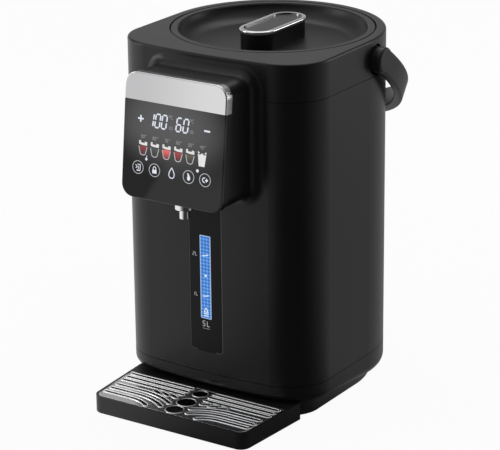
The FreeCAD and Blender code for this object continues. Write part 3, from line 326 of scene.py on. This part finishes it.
def smoked_glass():
    """Black glass with a painted glow, fading with the distance from a point behind it, and a painted
    slanting edge of light.
    """
    f = Finish("smoked_glass", (0.0045, 0.0045, 0.005), 0.07, specular=0.22, glow=1.0)
    # painted glow: emission brightest round a point in the upper middle, fading outwards
    dx = (f.x - PAINTED_GLASS_GLOW[0]) / 0.056
    dz = (f.z - PAINTED_GLASS_GLOW[2]) / 0.04
    glow = 1.0 - (dx * dx + dz * dz).ease(0.0, 1.6)
    # painted slanting edge of light: a soft step across a leaning line below the glow
    painted_slant_edge = (f.x * 0.9 - f.z * 0.55 + 0.144).ease(-0.004, 0.004)
    low = (f.z - 0.2500).ease(-0.02, 0.03)
    # the painted light: the glow, weaker towards the foot of the glass, plus a faint painted band beside
    # the slanting edge
    painted_glass_light = glow * 0.085 * (0.25 + 0.75 * low) + 0.016 * painted_slant_edge * (1.0 - low)
    f.set("Emission Color", f.blend(painted_glass_light, (0.0, 0.0, 0.0), (1.0, 1.0, 1.02)))
    return f.set("Roughness", 0.06 + 0.02 * f.grain(30.0))


def blue_window():
    """A blue lamp behind a lattice of diamonds, with a slow drift in its brightness."""
    f = Finish("blue_level_window", (0.03, 0.16, 0.6), 0.25, specular=0.4, glow=1.0)
    across = f.x / DIAMOND * math.pi
    upright = f.z / DIAMOND * math.pi
    lattice = ((across + upright).wave() * (across - upright).wave()).ease(-0.25, 0.45)
    slow = f.grain(90.0, 2.0)
    deep = f.blend(slow, (0.008, 0.04, 0.14), (0.016, 0.07, 0.22))
    light = f.blend(slow, (0.07, 0.22, 0.46), (0.13, 0.33, 0.58))
    return f.set("Emission Color", f.blend(lattice, deep, light))


glass = smoked_glass()
window = blue_window()
print("glass glow centred at", PAINTED_GLASS_GLOW)

# %% Give each solid its finish
FINISHES = {
    lacquer: ["body_casing"],
    satin: ["upper_collar", "base_housing", "head_housing", "head_front_frame", "grip_body"],
    matte: ["foot_pan", "drip_tray", "power_inlet"],
    lid_finish: ["lid_shell"],
    handle_finish: ["carry_handle"],
    strip_black: ["level_strip_panel"],
    rubber: ["rubber_feet", "tray_pads"],
    band_metal: ["head_band"],
    chrome: ["grip_ring", "nozzle"],
    mirror_steel: ["drip_grille"],
    inlay_metal: ["grip_inlay"],
    tank_metal: ["inner_tank", "outlet_strainer", "spout_pipe", "lid_inner_cover"],
    screw_metal: ["base_screws", "heater_clamp", "temperature_sensor", "pump_motor", "pump_bracket",
                  "head_screws", "handle_pivot_pins", "lid_screws", "grip_screws"],
    cast_metal: ["heater_plate"],
    element_metal: ["heater_element"],
    felt: ["insulation_jacket"],
    silicone: ["tank_rim_seal", "suction_hose", "riser_hose", "level_feed_elbow", "level_vent_elbow",
               "nozzle_seal", "lid_gasket"],
    pale_plastic: ["chassis_plate", "tank_supports", "pump_housing", "board_standoffs"],
    ceramic: ["thermostats", "thermal_fuse"],
    board: ["level_led_board", "display_board", "power_board"],
    clear: ["level_tube"],
    glass: ["control_glass"],
    window: ["level_window"],
}
for finish, names in FINISHES.items():
    for name in names:
        nodes[name].material_slots[0].material = finish.material
dressed = sum(len(names) for names in FINISHES.values())
print(dressed, "of", len(nodes), "solids have a finish")

# %% [markdown]
# ## Strokes and plates
# Digits, icons and rims are all either a line with a width or a small filled shape. A stroke
# carries a flat-topped section along a path; a plate is a round of points shrunk to its
# middle, once below and once above. Both are worked out on a flat sheet first and then laid
# on the glass, the strip or the grille by a function that turns sheet places into metres.

# %% Strokes and plates as arrays
def lattice_faces(rows, columns, wrap_rows, wrap_columns):
    """Four-cornered faces of a grid of points, whose rows or columns may close on themselves."""
    r = np.arange(rows if wrap_rows else rows - 1)
    c = np.arange(columns if wrap_columns else columns - 1)
    r, c = np.meshgrid(r, c, indexing="ij")
    up, on = (r + 1) % rows, (c + 1) % columns
    ring = [r * columns + c, up * columns + c, up * columns + on, r * columns + on]
    return np.stack(ring, -1).reshape(-1, 4)


FLAT_TOP = np.array([(-0.5, 0.0), (0.5, 0.0), (0.5, 1.0), (-0.5, 1.0)])


def stroke(path, width, height, closed=False, section=None):
    """A section carried along a flat path: each point of the path, plus the section's offset
    across it, mitred at the corners, and the section's height above the sheet. An open path
    has a four-cornered section, whose ends are closed by a face each."""
    path = np.asarray(path, float)
    if closed:
        before, after = np.roll(path, 1, 0), np.roll(path, -1, 0)
    else:
        before = np.vstack([2 * path[0] - path[1], path[:-1]])
        after = np.vstack([path[1:], 2 * path[-1] - path[-2]])
    u = path - before
    w = after - path
    u /= np.linalg.norm(u, axis=1, keepdims=True)
    w /= np.linalg.norm(w, axis=1, keepdims=True)
    side = np.stack([-(u + w)[:, 1], (u + w)[:, 0]], 1)
    side /= np.linalg.norm(side, axis=1, keepdims=True)
    mitre = np.clip(1 / np.clip(np.abs(side[:, 0] * -u[:, 1] + side[:, 1] * u[:, 0]), 0.3, 1), 1, 2.2)
    section = FLAT_TOP if section is None else section
    across = section[:, 0] * width
    places = path[:, None, :] + (side * mitre[:, None])[:, None, :] * across[None, :, None]
    lift = np.broadcast_to(section[:, 1] * height, places.shape[:2])
    points = np.concatenate([places, lift[..., None]], -1).reshape(-1, 3)
    faces = lattice_faces(len(path), len(section), closed, True)
    if not closed:
        start = np.arange(len(section))
        end = (len(path) - 1) * len(section) + start[::-1]
        faces = np.vstack([faces, start, end])
    return points, faces


def plate(outline, height):
    """A filled shape: its outline scaled by 0, 1, 1 and 0 about its middle, at heights 0, 0, 1, 1."""
    outline = np.asarray(outline, float)
    middle = outline.mean(0)
    scale = np.array([0.0, 1.0, 1.0, 0.0])[:, None, None]
    lift = np.array([0.0, 0.0, 1.0, 1.0])[:, None] * height
    places = middle + (outline - middle)[None] * scale
    lift = np.broadcast_to(lift, places.shape[:2])
    points = np.concatenate([places, lift[..., None]], -1).reshape(-1, 3)
    return points, lattice_faces(4, len(outline), False, True)


def ring_path(x, y, rx, ry=None, count=32, start=0.0, sweep=360.0):
    """Points round an oval: middle plus radius times cosine and sine."""
    full = abs(sweep) >= 360
    a = np.radians(start + np.linspace(0, sweep, count, endpoint=not full))
    return np.stack([x + rx * np.cos(a), y + (ry or rx) * np.sin(a)], 1)


def lay(name, parts, place, body, finish, smooth=False):
    """Join the parts, lay them with the placing function and make one piece of them."""
    sizes = [len(points) for points, faces in parts]
    firsts = np.cumsum([0] + sizes[:-1])
    points = place(np.concatenate([points for points, faces in parts]) * MM)
    faces = np.concatenate([faces + first for (_, faces), first in zip(parts, firsts)])
    mesh = bpy.data.meshes.new(name)
    mesh.from_pydata(points.tolist(), [], faces.tolist())
    shape = bmesh.new()
    shape.from_mesh(mesh)
    bmesh.ops.remove_doubles(shape, verts=shape.verts, dist=1e-7)
    bmesh.ops.recalc_face_normals(shape, faces=shape.faces)
    shape.to_mesh(mesh)
    shape.free()
    mesh.polygons.foreach_set("use_smooth", [smooth] * len(mesh.polygons))
    piece = bpy.data.objects.new(name, mesh)
    bpy.context.scene.collection.objects.link(piece)
    mesh.materials.append(finish.material)
    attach(piece, body)
    print(name, len(mesh.polygons), "faces")
    return piece

# %% [markdown]
# ## The lit display
# The glass leans back by about six degrees. Sheet places on it are given as the distance from
# the middle and the height above the floor, as we would measure them on the upright pot. The
# digits are seven-bar numerals that lean a little; they are drawn from a table of which bars
# each numeral lights.

# %% Places on the glass
GLASS_FOOT = (TANK_Y - 0.1689, 0.2151)
GLASS_LEAN = math.atan2(0.0122, 0.1128)
SKIN = 0.02
LIT = 0.07


def on_glass(p):
    """Sheet x, height and lift to metres: along the lean, then out along its normal."""
    along = (p[:, 1] - GLASS_FOOT[1]) / math.cos(GLASS_LEAN)
    lift = p[:, 2] + SKIN * MM
    y = GLASS_FOOT[0] + along * math.sin(GLASS_LEAN) - lift * math.cos(GLASS_LEAN)
    z = GLASS_FOOT[1] + along * math.cos(GLASS_LEAN) + lift * math.sin(GLASS_LEAN)
    return np.stack([p[:, 0], y, z], 1)


def lamp(name, colour, strength=1.0):
    """A lit mark: a dark plastic that glows, a little uneven as printed light is."""
    f = Finish(name, colour, 0.4, glow=strength)
    dim = [c * 0.82 for c in colour]
    f.set("Base Color", (0.02, 0.02, 0.02, 1.0))
    return f.set("Emission Color", f.blend(f.grain(400.0), dim, colour))


white_lamp = lamp("white_digit_light", (0.80, 0.84, 0.95))
grey_lamp = lamp("grey_icon_light", (0.50, 0.50, 0.52))
faint_lamp = lamp("faint_label_light", (0.27, 0.27, 0.28))
print("glass leans", round(math.degrees(GLASS_LEAN), 2), "degrees")

# %% Seven-bar numerals
BARS = {"0": "abcdef", "1": "bc", "2": "abged", "3": "abgcd", "4": "fgbc", "5": "afgcd",
        "6": "afgedc", "7": "abc", "8": "abcdefg", "9": "abcdfg"}
BAR_ENDS = {"a": (0, 2, 1, 2), "b": (1, 2, 1, 1), "c": (1, 1, 1, 0), "d": (0, 0, 1, 0),
            "e": (0, 1, 0, 0), "f": (0, 2, 0, 1), "g": (0, 1, 1, 1)}
LEAN = 0.13


def numeral(text, x, y, width, height, pitch, thick, lift=LIT, gap=0.12):
    """Each bar runs between two corners of a two-by-one grid, cut short by a gap, then leaned."""
    parts = []
    for i, sign in enumerate(text):
        for bar in BARS[sign]:
            ends = np.array(BAR_ENDS[bar], float).reshape(2, 2)
            ends = ends + (ends[::-1] - ends) * gap
            px = x + i * pitch + ends[:, 0] * width + ends[:, 1] * height / 2 * LEAN
            py = y + ends[:, 1] * height / 2
            parts.append(stroke(np.stack([px, py], 1), thick, lift))
    return parts


BIG_W, BIG_H, BIG_PITCH, BIG_BAR = 4.9, 12.0, 7.0, 1.35
digits = numeral("100", -27.4, 281.4, BIG_W, BIG_H, BIG_PITCH, BIG_BAR)
digits += numeral("60", 2.2, 281.4, BIG_W, BIG_H, 7.4, BIG_BAR)
digits += [stroke([(-38.4, 287), (-32.4, 287)], 1.5, LIT), stroke([(-35.4, 284), (-35.4, 290)], 1.5, LIT)]
digits += [stroke([(32.2, 286.2), (38.4, 286.2)], 1.6, LIT)]
lay("lit_digits", digits, on_glass, "pot", white_lamp)

units = []
for x in (-4.6, 17.6):
    units.append(stroke(ring_path(x, 293.4, 0.7, count=16), 0.4, LIT, True))
    units.append(stroke(ring_path(x + 2.4, 292.6, 1.1, 1.5, 14, 50, 260), 0.45, LIT))
    units.append(stroke([(x, 284.4), (x, 281.6)], 0.45, LIT))
    units.append(stroke(ring_path(x + 2.2, 283, 1.0, 1.4, 20), 0.45, LIT, True))
lay("unit_marks", units, on_glass, "pot", faint_lamp)

# %% [markdown]
# ## Six cups and their colours
# Each cup is the outline of a tumbler with a coloured drink in it and a light stepped lid.
# The drink is a plate with slanting sides, and its colour is the only thing that changes, so
# one function draws them all. The last cup is taller and filled with white.

# %% Cups
CUP_X, CUP_PITCH, CUP_Z = -31.9, 12.6, 261.6
DRINKS = {"dark_red": (0.23, 0.022, 0.022), "clear_grey": (0.05, 0.056, 0.05),
          "salmon": (0.78, 0.11, 0.10), "red": (0.33, 0.03, 0.034), "olive": (0.085, 0.07, 0.035)}
LABELS = ("90", "80", "70", "60", "50", "45")


def tumbler(x, z, wide, narrow, low, high):
    """A tumbler's outline from its left rim round the foot to its right rim."""
    foot = ring_path(x, z + low + 2.0, narrow, 2.0, 9, 200, 140)
    return np.vstack([[(x - wide, z + high)], foot, [(x + wide, z + high)]])


def filled(x, corners):
    """A plate whose corners are given from the middle of a cup at x."""
    return plate([(x + across, CUP_Z + up) for across, up in corners], LIT)


DRINK_SHAPE = ((-4.0, 1.4), (-2.7, -5.4), (0.0, -6.2), (2.7, -5.4), (4.0, 1.4))
LID_SHAPES = (
    ((-4.3, 6.0), (-4.3, 2.6), (-2.4, 2.6), (-2.4, 6.0)),
    ((-2.4, 4.2), (-2.4, 2.2), (2.0, 2.0), (2.0, 4.0)),
    ((1.8, 5.4), (1.8, 2.0), (4.4, 2.0), (4.4, 5.0)),
)
FULL_SHAPES = (
    ((-4.4, 3.6), (-3.0, -7.2), (3.0, -7.2), (4.4, 3.6), (2.2, 3.0), (0.0, 4.6), (-2.2, 3.0)),
    ((-4.4, 6.2), (-4.2, 3.8), (-2.2, 4.6)),
    ((4.4, 6.2), (2.2, 4.6), (4.2, 3.8)),
)
cup_lines, lids, labels, drinks = [], [], [], {}
for i, colour in enumerate(list(DRINKS) + ["white"]):
    x = CUP_X + i * CUP_PITCH
    lids += [filled(x, shape) for shape in (FULL_SHAPES if colour == "white" else LID_SHAPES)]
    if colour != "white":
        drink = [(x + across, CUP_Z + up) for across, up in DRINK_SHAPE]
        drinks[colour] = plate(drink, LIT * 0.6)
        cup_lines.append(stroke(tumbler(x, CUP_Z, 4.5, 3.0, -6.9, 0.9), 0.75, LIT))
    labels += numeral(LABELS[i], x - 2.6, CUP_Z + 8.4, 1.35, 2.7, 2.2, 0.42, LIT, 0.05)
    labels.append(stroke(ring_path(x + 2.7, CUP_Z + 11.0, 0.42, count=12), 0.28, LIT, True))


def drink_light(name, colour):
    """A drink's glow: full at the top of the cup and a third of it at the foot."""
    f = lamp(name, colour)
    level_in_cup = (f.z - (CUP_Z - 6.0) * MM).ease(0.0, 0.0075)
    deep = [c * 0.3 for c in colour]
    return f.set("Emission Color", f.blend(level_in_cup, deep, colour))


for colour, part in drinks.items():
    name = "drink_" + colour
    lay(name, [part], on_glass, "pot", drink_light(name, DRINKS[colour]))
lay("cup_outlines", cup_lines, on_glass, "pot", grey_lamp)
lay("cup_lids", lids, on_glass, "pot", lamp("lid_light", (0.80, 0.80, 0.80)))
lay("cup_labels", labels, on_glass, "pot", faint_lamp)

# %% [markdown]
# ## Touch keys
# A row of five round touch keys runs under the cups: a refill sign, a lock, a drop of water, a
# hand and a pair of arrows. Four have a thin bright ring. They are general signs, made of a
# few strokes and plates each.

# %% Keys
KEY_Z = 243.0
KEY_X = (-36.5, -18.6, -0.2, 17.9, 35.3)
KEY_R = 5.7
rings = [stroke(ring_path(x, KEY_Z, KEY_R, count=48), 0.62, LIT, True) for x in KEY_X if abs(x) > 1]
lay("key_rings", rings, on_glass, "pot", grey_lamp)


def drop_path(x, z, r, tall, count=40):
    """A drop: a circle whose upper half is drawn out to a point by a power of the height."""
    a = np.linspace(0, 2 * math.pi, count, endpoint=False)
    s = np.sin(a)
    narrow = np.where(s > 0, 1 - s ** 1.5, 1.0)
    return np.stack([x + r * np.cos(a) * np.where(s > 0, np.sqrt(np.clip(narrow, 0, 1)), 1),
                     z + np.where(s > 0, s * tall, s * r)], 1)


x0, x1, x2, x3, x4 = KEY_X
signs = [
    stroke([(x0 - 2.6, KEY_Z + 2.2), (x0 - 1.0, KEY_Z + 0.4), (x0 - 2.2, KEY_Z - 1.0)], 0.7, LIT),
    stroke([(x0 - 0.6, KEY_Z + 2.6), (x0 + 2.4, KEY_Z + 2.6), (x0 + 2.4, KEY_Z - 2.6)], 0.7, LIT),
    stroke([(x0 - 1.4, KEY_Z - 2.8), (x0 + 2.4, KEY_Z - 2.8)], 0.9, LIT),
    stroke([(x0 + 0.4, KEY_Z + 1.0), (x0 + 0.4, KEY_Z - 1.6)], 0.8, LIT),
    plate([(x1 - 2.3, KEY_Z + 0.4), (x1 - 2.3, KEY_Z - 2.9),
           (x1 + 2.3, KEY_Z - 2.9), (x1 + 2.3, KEY_Z + 0.4)], LIT),
    stroke(np.vstack([[(x1 - 1.4, KEY_Z + 0.2)], ring_path(x1, KEY_Z + 1.6, 1.4, 1.6, 11, 180, -180),
                      [(x1 + 1.4, KEY_Z + 0.2)]]), 0.75, LIT),
    stroke(drop_path(x2, KEY_Z - 1.2, 2.9, 6.2), 0.85, LIT, True),
    plate(ring_path(x3 + 0.2, KEY_Z - 1.2, 1.7, 2.0, 18), LIT),
    plate([(x3 - 1.6, KEY_Z + 3.0), (x3 - 0.3, KEY_Z + 3.2),
           (x3 + 1.5, KEY_Z + 0.4), (x3 - 0.6, KEY_Z - 0.4)], LIT),
    stroke(ring_path(x4 - 0.6, KEY_Z, 2.0, 2.0, 12, 70, 220), 0.9, LIT),
    stroke([(x4 + 0.2, KEY_Z - 0.2), (x4 + 3.0, KEY_Z - 0.2)], 1.2, LIT),
    plate([(x4 + 1.2, KEY_Z + 2.0), (x4 + 1.2, KEY_Z - 2.0), (x4 + 3.4, KEY_Z)], LIT),
    plate(ring_path(-27.8, 251.6, 1.25, 1.25, 16), LIT),
    stroke([(-27.8, 252.6), (-27.2, 255.0)], 0.55, LIT),
    plate(ring_path(27.0, 250.0, 1.45, 1.45, 16), LIT),
]
lay("key_signs", signs, on_glass, "pot", white_lamp)

# %% [markdown]
# ## The level scale
# The front of the casing bulges by a fraction of a millimetre, so the sheet here is bent to
# the same arc. The window gets a pale border and bright ticks at one and two litres, and the
# numbers stand at its left, with the full five litres under it.

# %% Scale, border and labels
FRONT_Y = 0.1165
FRONT_ARC = 0.634
STRIP_SUNK = 0.0003


def on_front(p):
    """Sheet x, height and lift to metres on the bulging front."""
    drop = FRONT_ARC - np.sqrt(FRONT_ARC ** 2 - p[:, 0] ** 2)
    y = TANK_Y - FRONT_Y + STRIP_SUNK + drop - p[:, 2] - SKIN * MM
    return np.stack([p[:, 0], y, p[:, 1]], 1)


def frame_path(half_w, low, high, r, count=6):
    """A rectangle with round corners, one quarter ring at each."""
    side, top, foot = half_w - r, high - r, low + r
    corners = ((side, top, 0), (-side, top, 90), (-side, foot, 180), (side, foot, 270))
    return np.vstack([ring_path(x, y, r, count=count, start=a, sweep=90) for x, y, a in corners])


border_lamp = lamp("pale_window_border", (0.42, 0.56, 0.76))
tick_lamp = lamp("bright_window_ticks", (0.80, 0.93, 1.0))
label_print = lamp("grey_scale_print", (0.36, 0.36, 0.37))
lay("window_border", [stroke(frame_path(5.45, 89.8, 169.8, 0.5), 0.65, 0.12, True)],
    on_front, "pot", border_lamp)
ticks = [stroke([(-3.4, z - 0.2), (0.0, z + 0.3), (3.4, z + 1.4)], 0.85, 0.1) for z in (111.2, 150.6)]
ticks += [plate(ring_path(0.2, 131.4, 1.15, 1.15, 18), 0.1)]
ticks += [stroke([(-2.6, z), (2.6, z)], 0.8, 0.1) for z in (92.2, 94.2)]
ticks += [stroke([(-2.2, 96.0), (0.0, 99.8), (2.2, 96.0), (-2.2, 96.0)], 0.7, 0.1)]
lay("window_ticks", ticks, on_front, "pot", tick_lamp)


def litre(x, z, tall, thick):
    """The capital that stands for litres: an upright and a foot."""
    return stroke([(x, z + tall), (x, z), (x + tall * 0.5, z)], thick, 0.05)


scale = numeral("2", -13.9, 149.4, 1.5, 3.2, 2.0, 0.5, 0.05, 0.0) + [litre(-10.9, 149.4, 3.2, 0.5)]
scale += numeral("1", -13.9, 110.4, 1.2, 3.2, 2.0, 0.5, 0.05, 0.0) + [litre(-10.9, 110.4, 3.2, 0.5)]
scale += numeral("5", -4.2, 81.9, 2.4, 4.8, 3.0, 0.75, 0.05, 0.0) + [litre(1.0, 81.9, 4.8, 0.8)]
scale += [stroke([(-3.9, 79.6), (3.9, 79.6)], 0.3, 0.05)]
lay("scale_labels", scale, on_front, "pot", label_print)

# painted highlight: a thin lighter grey line round the black strip, where its bevelled edge catches light
painted_edge_sheen = moulded("strip_edge_sheen", (0.11, 0.11, 0.113), 0.3, 900.0, 0.00002)
outline = np.vstack([[(-17.6, 213.0)], ring_path(-14.4, 60.6, 3.2, 3.2, 7, 180, 90),
                     ring_path(14.4, 60.6, 3.2, 3.2, 7, 270, 90), [(17.6, 213.0)]])
lay("strip_edge_line", [stroke(outline, 0.5, 0.05)], on_front, "pot", painted_edge_sheen)

# %% [markdown]
# ## Rolled edges on the grille
# The slots in the steel plate are pressed, not just cut, so each has a raised round lip that
# catches the light. The lip is a half-round section carried round the slot's outline. The
# slots run straight in from the sides; in front they bend forward on an arc that is tangent
# to the straight part, as they do in the solid plate. The section has a keel below its middle,
# which sinks into the plate, so that no gap shows under the lip.

# %% Lips round the slots and cup rings
PLATE_TOP = 0.0185
SLOT = 3.2
LIP_W, LIP_H = 2.2, 0.6
KEEL = (0.0, -1.4)
bow = np.linspace(math.pi, 0, 7)
HALF_ROUND = np.vstack([np.stack([0.5 * np.cos(bow), np.sin(bow)], 1), [KEEL]])
REAR_SLOTS = (-121.6, -129.4, -137.2)
REAR_X = (13.0, 80.0)
FRONT_SLOTS = ((-149.0, 12.0, -160.0), (-158.5, 15.0, -169.5), (-168.0, 28.0, -175.0))
FRONT_X = (48.0, 78.0)
DASHES = (17.5, 26.5, 36.0)
CUP_RINGS = ((-127.6, 7.0), (-150.0, 8.6), (-169.0, 8.0))


def on_plate(p):
    """Sheet x and y to metres on the grille's top."""
    return np.stack([p[:, 0], p[:, 1] + TANK_Y, p[:, 2] + PLATE_TOP], 1)


def round_slot(middle, half_w):
    """The outline at a distance from a middle line: along one side, round the end and back."""
    middle = np.asarray(middle, float)
    t = np.gradient(middle, axis=0)
    t /= np.linalg.norm(t, axis=1, keepdims=True)
    n = np.stack([-t[:, 1], t[:, 0]], 1)
    tips = []
    for end, sign in ((-1, 1), (0, -1)):
        a = np.linspace(0, math.pi, 9)[1:-1, None]
        tips.append(middle[end] + half_w * sign * (n[end] * np.cos(a) + t[end] * np.sin(a)))
    return np.vstack([middle + n * half_w, tips[0], (middle - n * half_w)[::-1], tips[1]])


def front_middle(y, end_x, end_y):
    """Straight from the side to the bend, then the tangent arc to the inner end."""
    bend_x, outer_x = FRONT_X
    drop = y - end_y
    r = ((bend_x - end_x) ** 2 + drop ** 2) / (2 * drop)
    a = np.linspace(0, math.atan2(bend_x - end_x, r - drop), 16)
    arc = np.stack([bend_x - r * np.sin(a), y - r + r * np.cos(a)], 1)
    return np.vstack([np.stack([np.linspace(outer_x, bend_x + 3, 5), np.full(5, y)], 1), arc])


LIP_OUT = SLOT / 2 + LIP_W * 0.4
FRONT_LIP_OUT = SLOT / 2 + LIP_W * 0.35
DASH_Y, DASH_HALF = -144.6, 3.25
DASH_TURN = math.radians(24)
lips = []
for sign in (-1, 1):
    flip = np.array([sign, 1.0])
    for y in REAR_SLOTS:
        middle = np.stack([np.linspace(REAR_X[1], REAR_X[0], 8), np.full(8, y)], 1)
        lips.append(round_slot(middle * flip, LIP_OUT))
    for y, end_x, end_y in FRONT_SLOTS:
        lips.append(round_slot(front_middle(y, end_x, end_y) * flip, FRONT_LIP_OUT))
    for x in DASHES:
        reach = np.array([math.cos(DASH_TURN), math.sin(DASH_TURN)]) * DASH_HALF
        middle = np.array([x, DASH_Y]) + np.linspace(-1, 1, 4)[:, None] * reach
        lips.append(round_slot(middle * flip, LIP_OUT))
rims = [stroke(path, LIP_W, LIP_H, True, HALF_ROUND) for path in lips]
rims += [stroke(ring_path(0, y, r + 0.5, count=48), 1.6, 0.42, True, HALF_ROUND) for y, r in CUP_RINGS]
# the lips take the lighter, painted-highlight copy of the grille steel
lay("grille_lips", rims, on_plate, "grille", painted_bright_lip_steel, True)

# %% A bead round the plate
EDGE_X, EDGE_Y, EDGE_R = 74.0, -173.2, 6.6
BACK_X, BACK_Y = 86.2, -118.0
front_left = ring_path(-EDGE_X, EDGE_Y, EDGE_R, EDGE_R, 8, 180, 90)
front_right = ring_path(EDGE_X, EDGE_Y, EDGE_R, EDGE_R, 8, 270, 90)
edge = np.vstack([front_left, front_right, [(BACK_X, BACK_Y), (-BACK_X, BACK_Y)]])
bead = stroke(edge, 0.9, 0.22, True, HALF_ROUND)
# the bead takes the same lighter, painted-highlight copy of the grille steel
lay("grille_edge_bead", [bead], on_plate, "grille", painted_bright_lip_steel, True)

# %% [markdown]
# ## Studio
# A black product on white wants big soft sources at its sides, which draw long upright
# highlights, and a darker room behind the camera, which keeps the corner that faces us deep.
# The room is the world: white where the camera looks past the pot, and for reflections a
# brightness that depends on the direction alone.

# %% Floor, world and lights
bpy.ops.mesh.primitive_plane_add(size=8.0, location=(0, 0, -0.0002))
floor = bpy.context.object
floor.name = "studio_floor"
paper = Finish("white_paper", (0.86, 0.86, 0.86), 0.9, specular=0.0)
WHITE_SHARE = 0.95
DARK_SIDE = math.radians(43)
DARK_WAY = (math.sin(DARK_SIDE), -math.cos(DARK_SIDE), 0.0)
DIM_SIDE = math.radians(140)
DIM_WAY = (math.sin(DIM_SIDE), -math.cos(DIM_SIDE), 0.0)


def room_light(owner, place):
    """Brightness round the pot: full on the left, lower behind, and dark in front."""
    flat = owner.node("ShaderNodeVectorMath", {"operation": "MULTIPLY"}, {0: place, 1: (1.0, 1.0, 0.0)})
    way = owner.node("ShaderNodeVectorMath", {"operation": "NORMALIZE"}, {0: flat})
    near = owner.along(way, DARK_WAY)
    behind = owner.along(way, DIM_WAY)
    return (0.90 - 0.87 * near.ease(0.30, 0.97)) * (1.0 - 0.54 * behind.ease(0.1, 0.9))


rays = paper.tree.nodes.new("ShaderNodeLightPath")
seen = Field(paper, rays.outputs["Is Camera Ray"])
glint = Field(paper, rays.outputs["Is Glossy Ray"])
glow = seen + glint * room_light(paper, paper.where)
white = paper.node("ShaderNodeEmission", {}, {"Color": (1, 1, 1, 1), "Strength": glow})
lit_paper = Field(paper, paper.shader.outputs[0])
share = (WHITE_SHARE * seen).most(glint)
both = paper.node("ShaderNodeMixShader", {}, {0: share, 1: lit_paper, 2: white})
paper.tree.links.new(both.socket, paper.tree.nodes["Material Output"].inputs[0])
floor.data.materials.append(paper.material)

world = bpy.data.worlds.new("studio")
bpy.context.scene.world = world
world.use_nodes = True
sky = NodeTree(world.node_tree)
rays = sky.tree.nodes.new("ShaderNodeLightPath")
camera_ray = Field(sky, rays.outputs["Is Camera Ray"])
shiny_ray = Field(sky, rays.outputs["Is Glossy Ray"])
through_ray = Field(sky, rays.outputs["Is Transmission Ray"])
direction = sky.node("ShaderNodeTexCoord", {}, {}, "Generated")
rise = sky.node("ShaderNodeSeparateXYZ", {}, {0: direction}, 2)
room = room_light(sky, direction) * (1.0 - 0.6 * rise.ease(0.05, 0.3)) + 0.6 * rise.ease(0.55, 0.85)
plain = camera_ray.most(through_ray)
strength = plain + (1.0 - plain) * (shiny_ray * room + (1.0 - shiny_ray) * 0.45)
background = sky.tree.nodes["Background"]
sky.join((1.0, 1.0, 1.0, 1.0), background.inputs["Color"])
sky.join(strength, background.inputs["Strength"])


def softbox(name, azimuth, height, distance, wide, tall, power, aim_height=0.17):
    """A rectangular lamp on a circle round the pot, turned to face it."""
    data = bpy.data.lights.new(name, "AREA")
    data.shape = "RECTANGLE"
    data.size, data.size_y, data.energy = wide, tall, power
    lamp_object = bpy.data.objects.new(name, data)
    bpy.context.scene.collection.objects.link(lamp_object)
    a = math.radians(azimuth)
    place = Vector((math.cos(a) * distance, math.sin(a) * distance, height))
    lamp_object.location = place
    lamp_object.rotation_euler = (place - Vector((0, 0, aim_height))).to_track_quat("Z", "Y").to_euler()


softbox("left_softbox", -150, 0.75, 1.9, 0.5, 1.5, 9)
softbox("right_softbox", 52, 0.40, 1.9, 0.30, 1.3, 5)
softbox("top_softbox", 110, 2.0, 1.2, 1.6, 1.2, 9)
print("three softboxes and a white room")
